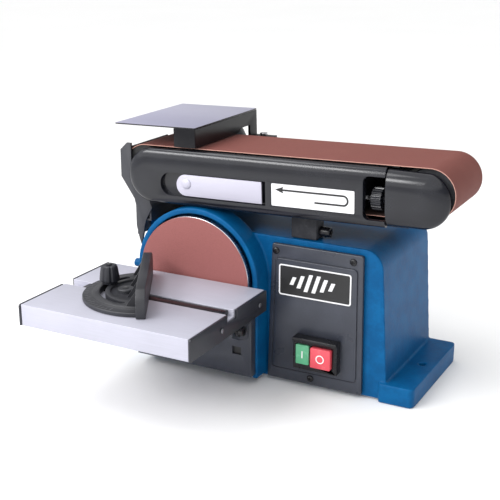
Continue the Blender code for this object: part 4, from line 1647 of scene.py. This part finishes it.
@dataclass
class Studio:
    """A plain pale room with soft light, and the camera."""

    eye: Point3 = (0.6181, -1.1317, 0.5398)
    aim: Point3 = (0.0431, -0.0488, 0.1507)
    lens: float = 74.28
    floor_half: float = 25000.0
    floor_drop: float = 0.0004
    sky: float = 0.3
    horizon: tuple[float, float] = (0.1, 0.3)
    sun: float = 2.6
    sun_spread: float = 115.0
    sun_way: Point3 = (0.25, 0.45, -1.0)
    middle: Point3 = (0.1, -0.1, 0.25)

    def build_floor(self) -> None:
        """Lay the pale floor."""
        shape = bmesh.new()
        bmesh.ops.create_grid(shape, x_segments=1, y_segments=1, size=self.floor_half)
        floor = object_from(shape, "studio_floor", None)
        floor.location.z = -self.floor_drop
        bench = Bench(bpy.data.materials.new("studio_paper"))
        tone = bench.noise(2.0, 2.0)
        colour = bench.blend(tone, (0.93, 0.93, 0.93), (0.96, 0.96, 0.96))
        floor.data.materials.append(bench.finish(base_color=colour, roughness=0.9))

    def build_sky(self) -> None:
        """Fill the room with even light that is brighter towards the horizon."""
        world = bpy.data.worlds.new("studio_sky")
        bpy.context.scene.world = world
        bench = Bench(world, "Background")
        coords = bench.node("ShaderNodeTexCoord")
        parts = bench.node("ShaderNodeSeparateXYZ", {}, {0: coords.outputs["Generated"]})
        low, high = self.horizon
        fade = bench.node("ShaderNodeMapRange", {},
                          {"Value": parts.outputs["Z"], "From Min": low, "From Max": high,
                           "To Min": 1.0, "To Max": self.sky})
        bench.finish(color=(1.0, 1.0, 1.0), strength=fade.outputs["Result"])

    def build_lamp(self, name: str, place: Point3, size: Point2, power: float) -> None:
        """Hang one soft rectangular light that looks at the middle of the machine.

        Args:
            name: The light's name.
            place: Where it hangs.
            size: Its width and height, in metres.
            power: Its power, in watts.
        """
        lamp = bpy.data.lights.new(name, "AREA")
        lamp.shape = "RECTANGLE"
        lamp.size, lamp.size_y = size
        lamp.energy = power
        item = bpy.data.objects.new(name, lamp)
        item.location = place
        look = Vector(self.middle) - Vector(place)
        item.rotation_euler = look.to_track_quat("-Z", "Y").to_euler()
        bpy.context.scene.collection.objects.link(item)

    def build_sun(self) -> None:
        """Light the whole floor evenly, with soft shadows."""
        lamp = bpy.data.lights.new("room_light", "SUN")
        lamp.energy = self.sun
        lamp.angle = math.radians(self.sun_spread)
        item = bpy.data.objects.new("room_light", lamp)
        item.rotation_euler = Vector(self.sun_way).to_track_quat("-Z", "Y").to_euler()
        bpy.context.scene.collection.objects.link(item)

    def build_camera(self) -> None:
        """Set up the camera."""
        lens = bpy.data.cameras.new("studio_camera")
        lens.sensor_width = 36.0
        lens.lens = self.lens
        camera = bpy.data.objects.new("studio_camera", lens)
        camera.location = self.eye
        look = Vector(self.aim) - Vector(self.eye)
        camera.rotation_euler = look.to_track_quat("-Z", "Y").to_euler()
        bpy.context.scene.collection.objects.link(camera)
        bpy.context.scene.camera = camera

    def build(self) -> None:
        """Build the whole studio."""
        bpy.context.scene.view_settings.view_transform = "Standard"
        self.build_camera()
        self.build_floor()
        self.build_sky()
        self.build_sun()
        self.build_lamp("key_light", (-0.55, -0.55, 1.5), (1.3, 0.45), 8)
        self.build_lamp("front_light", (-0.75, -1.35, 1.05), (1.4, 0.3), 17)


def main() -> None:
    """Load the frame and build every sub-assembly around it."""
    logging.basicConfig(level=logging.INFO, format="%(message)s")
    for item in list(bpy.data.objects):
        bpy.data.objects.remove(item, do_unlink=True)
    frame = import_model()
    machine = Machine(frame)
    Studio().build()
    for assembly in (BaseCasting, SwitchPanel, ArmCover, BeltRun, WorkStop, HoodAndStand, DiscDrive,
                     Table, MitreGauge):
        LOG.info("building %s", assembly.__name__)
        assembly(machine).dress()


if __name__ == "__main__":
    main()
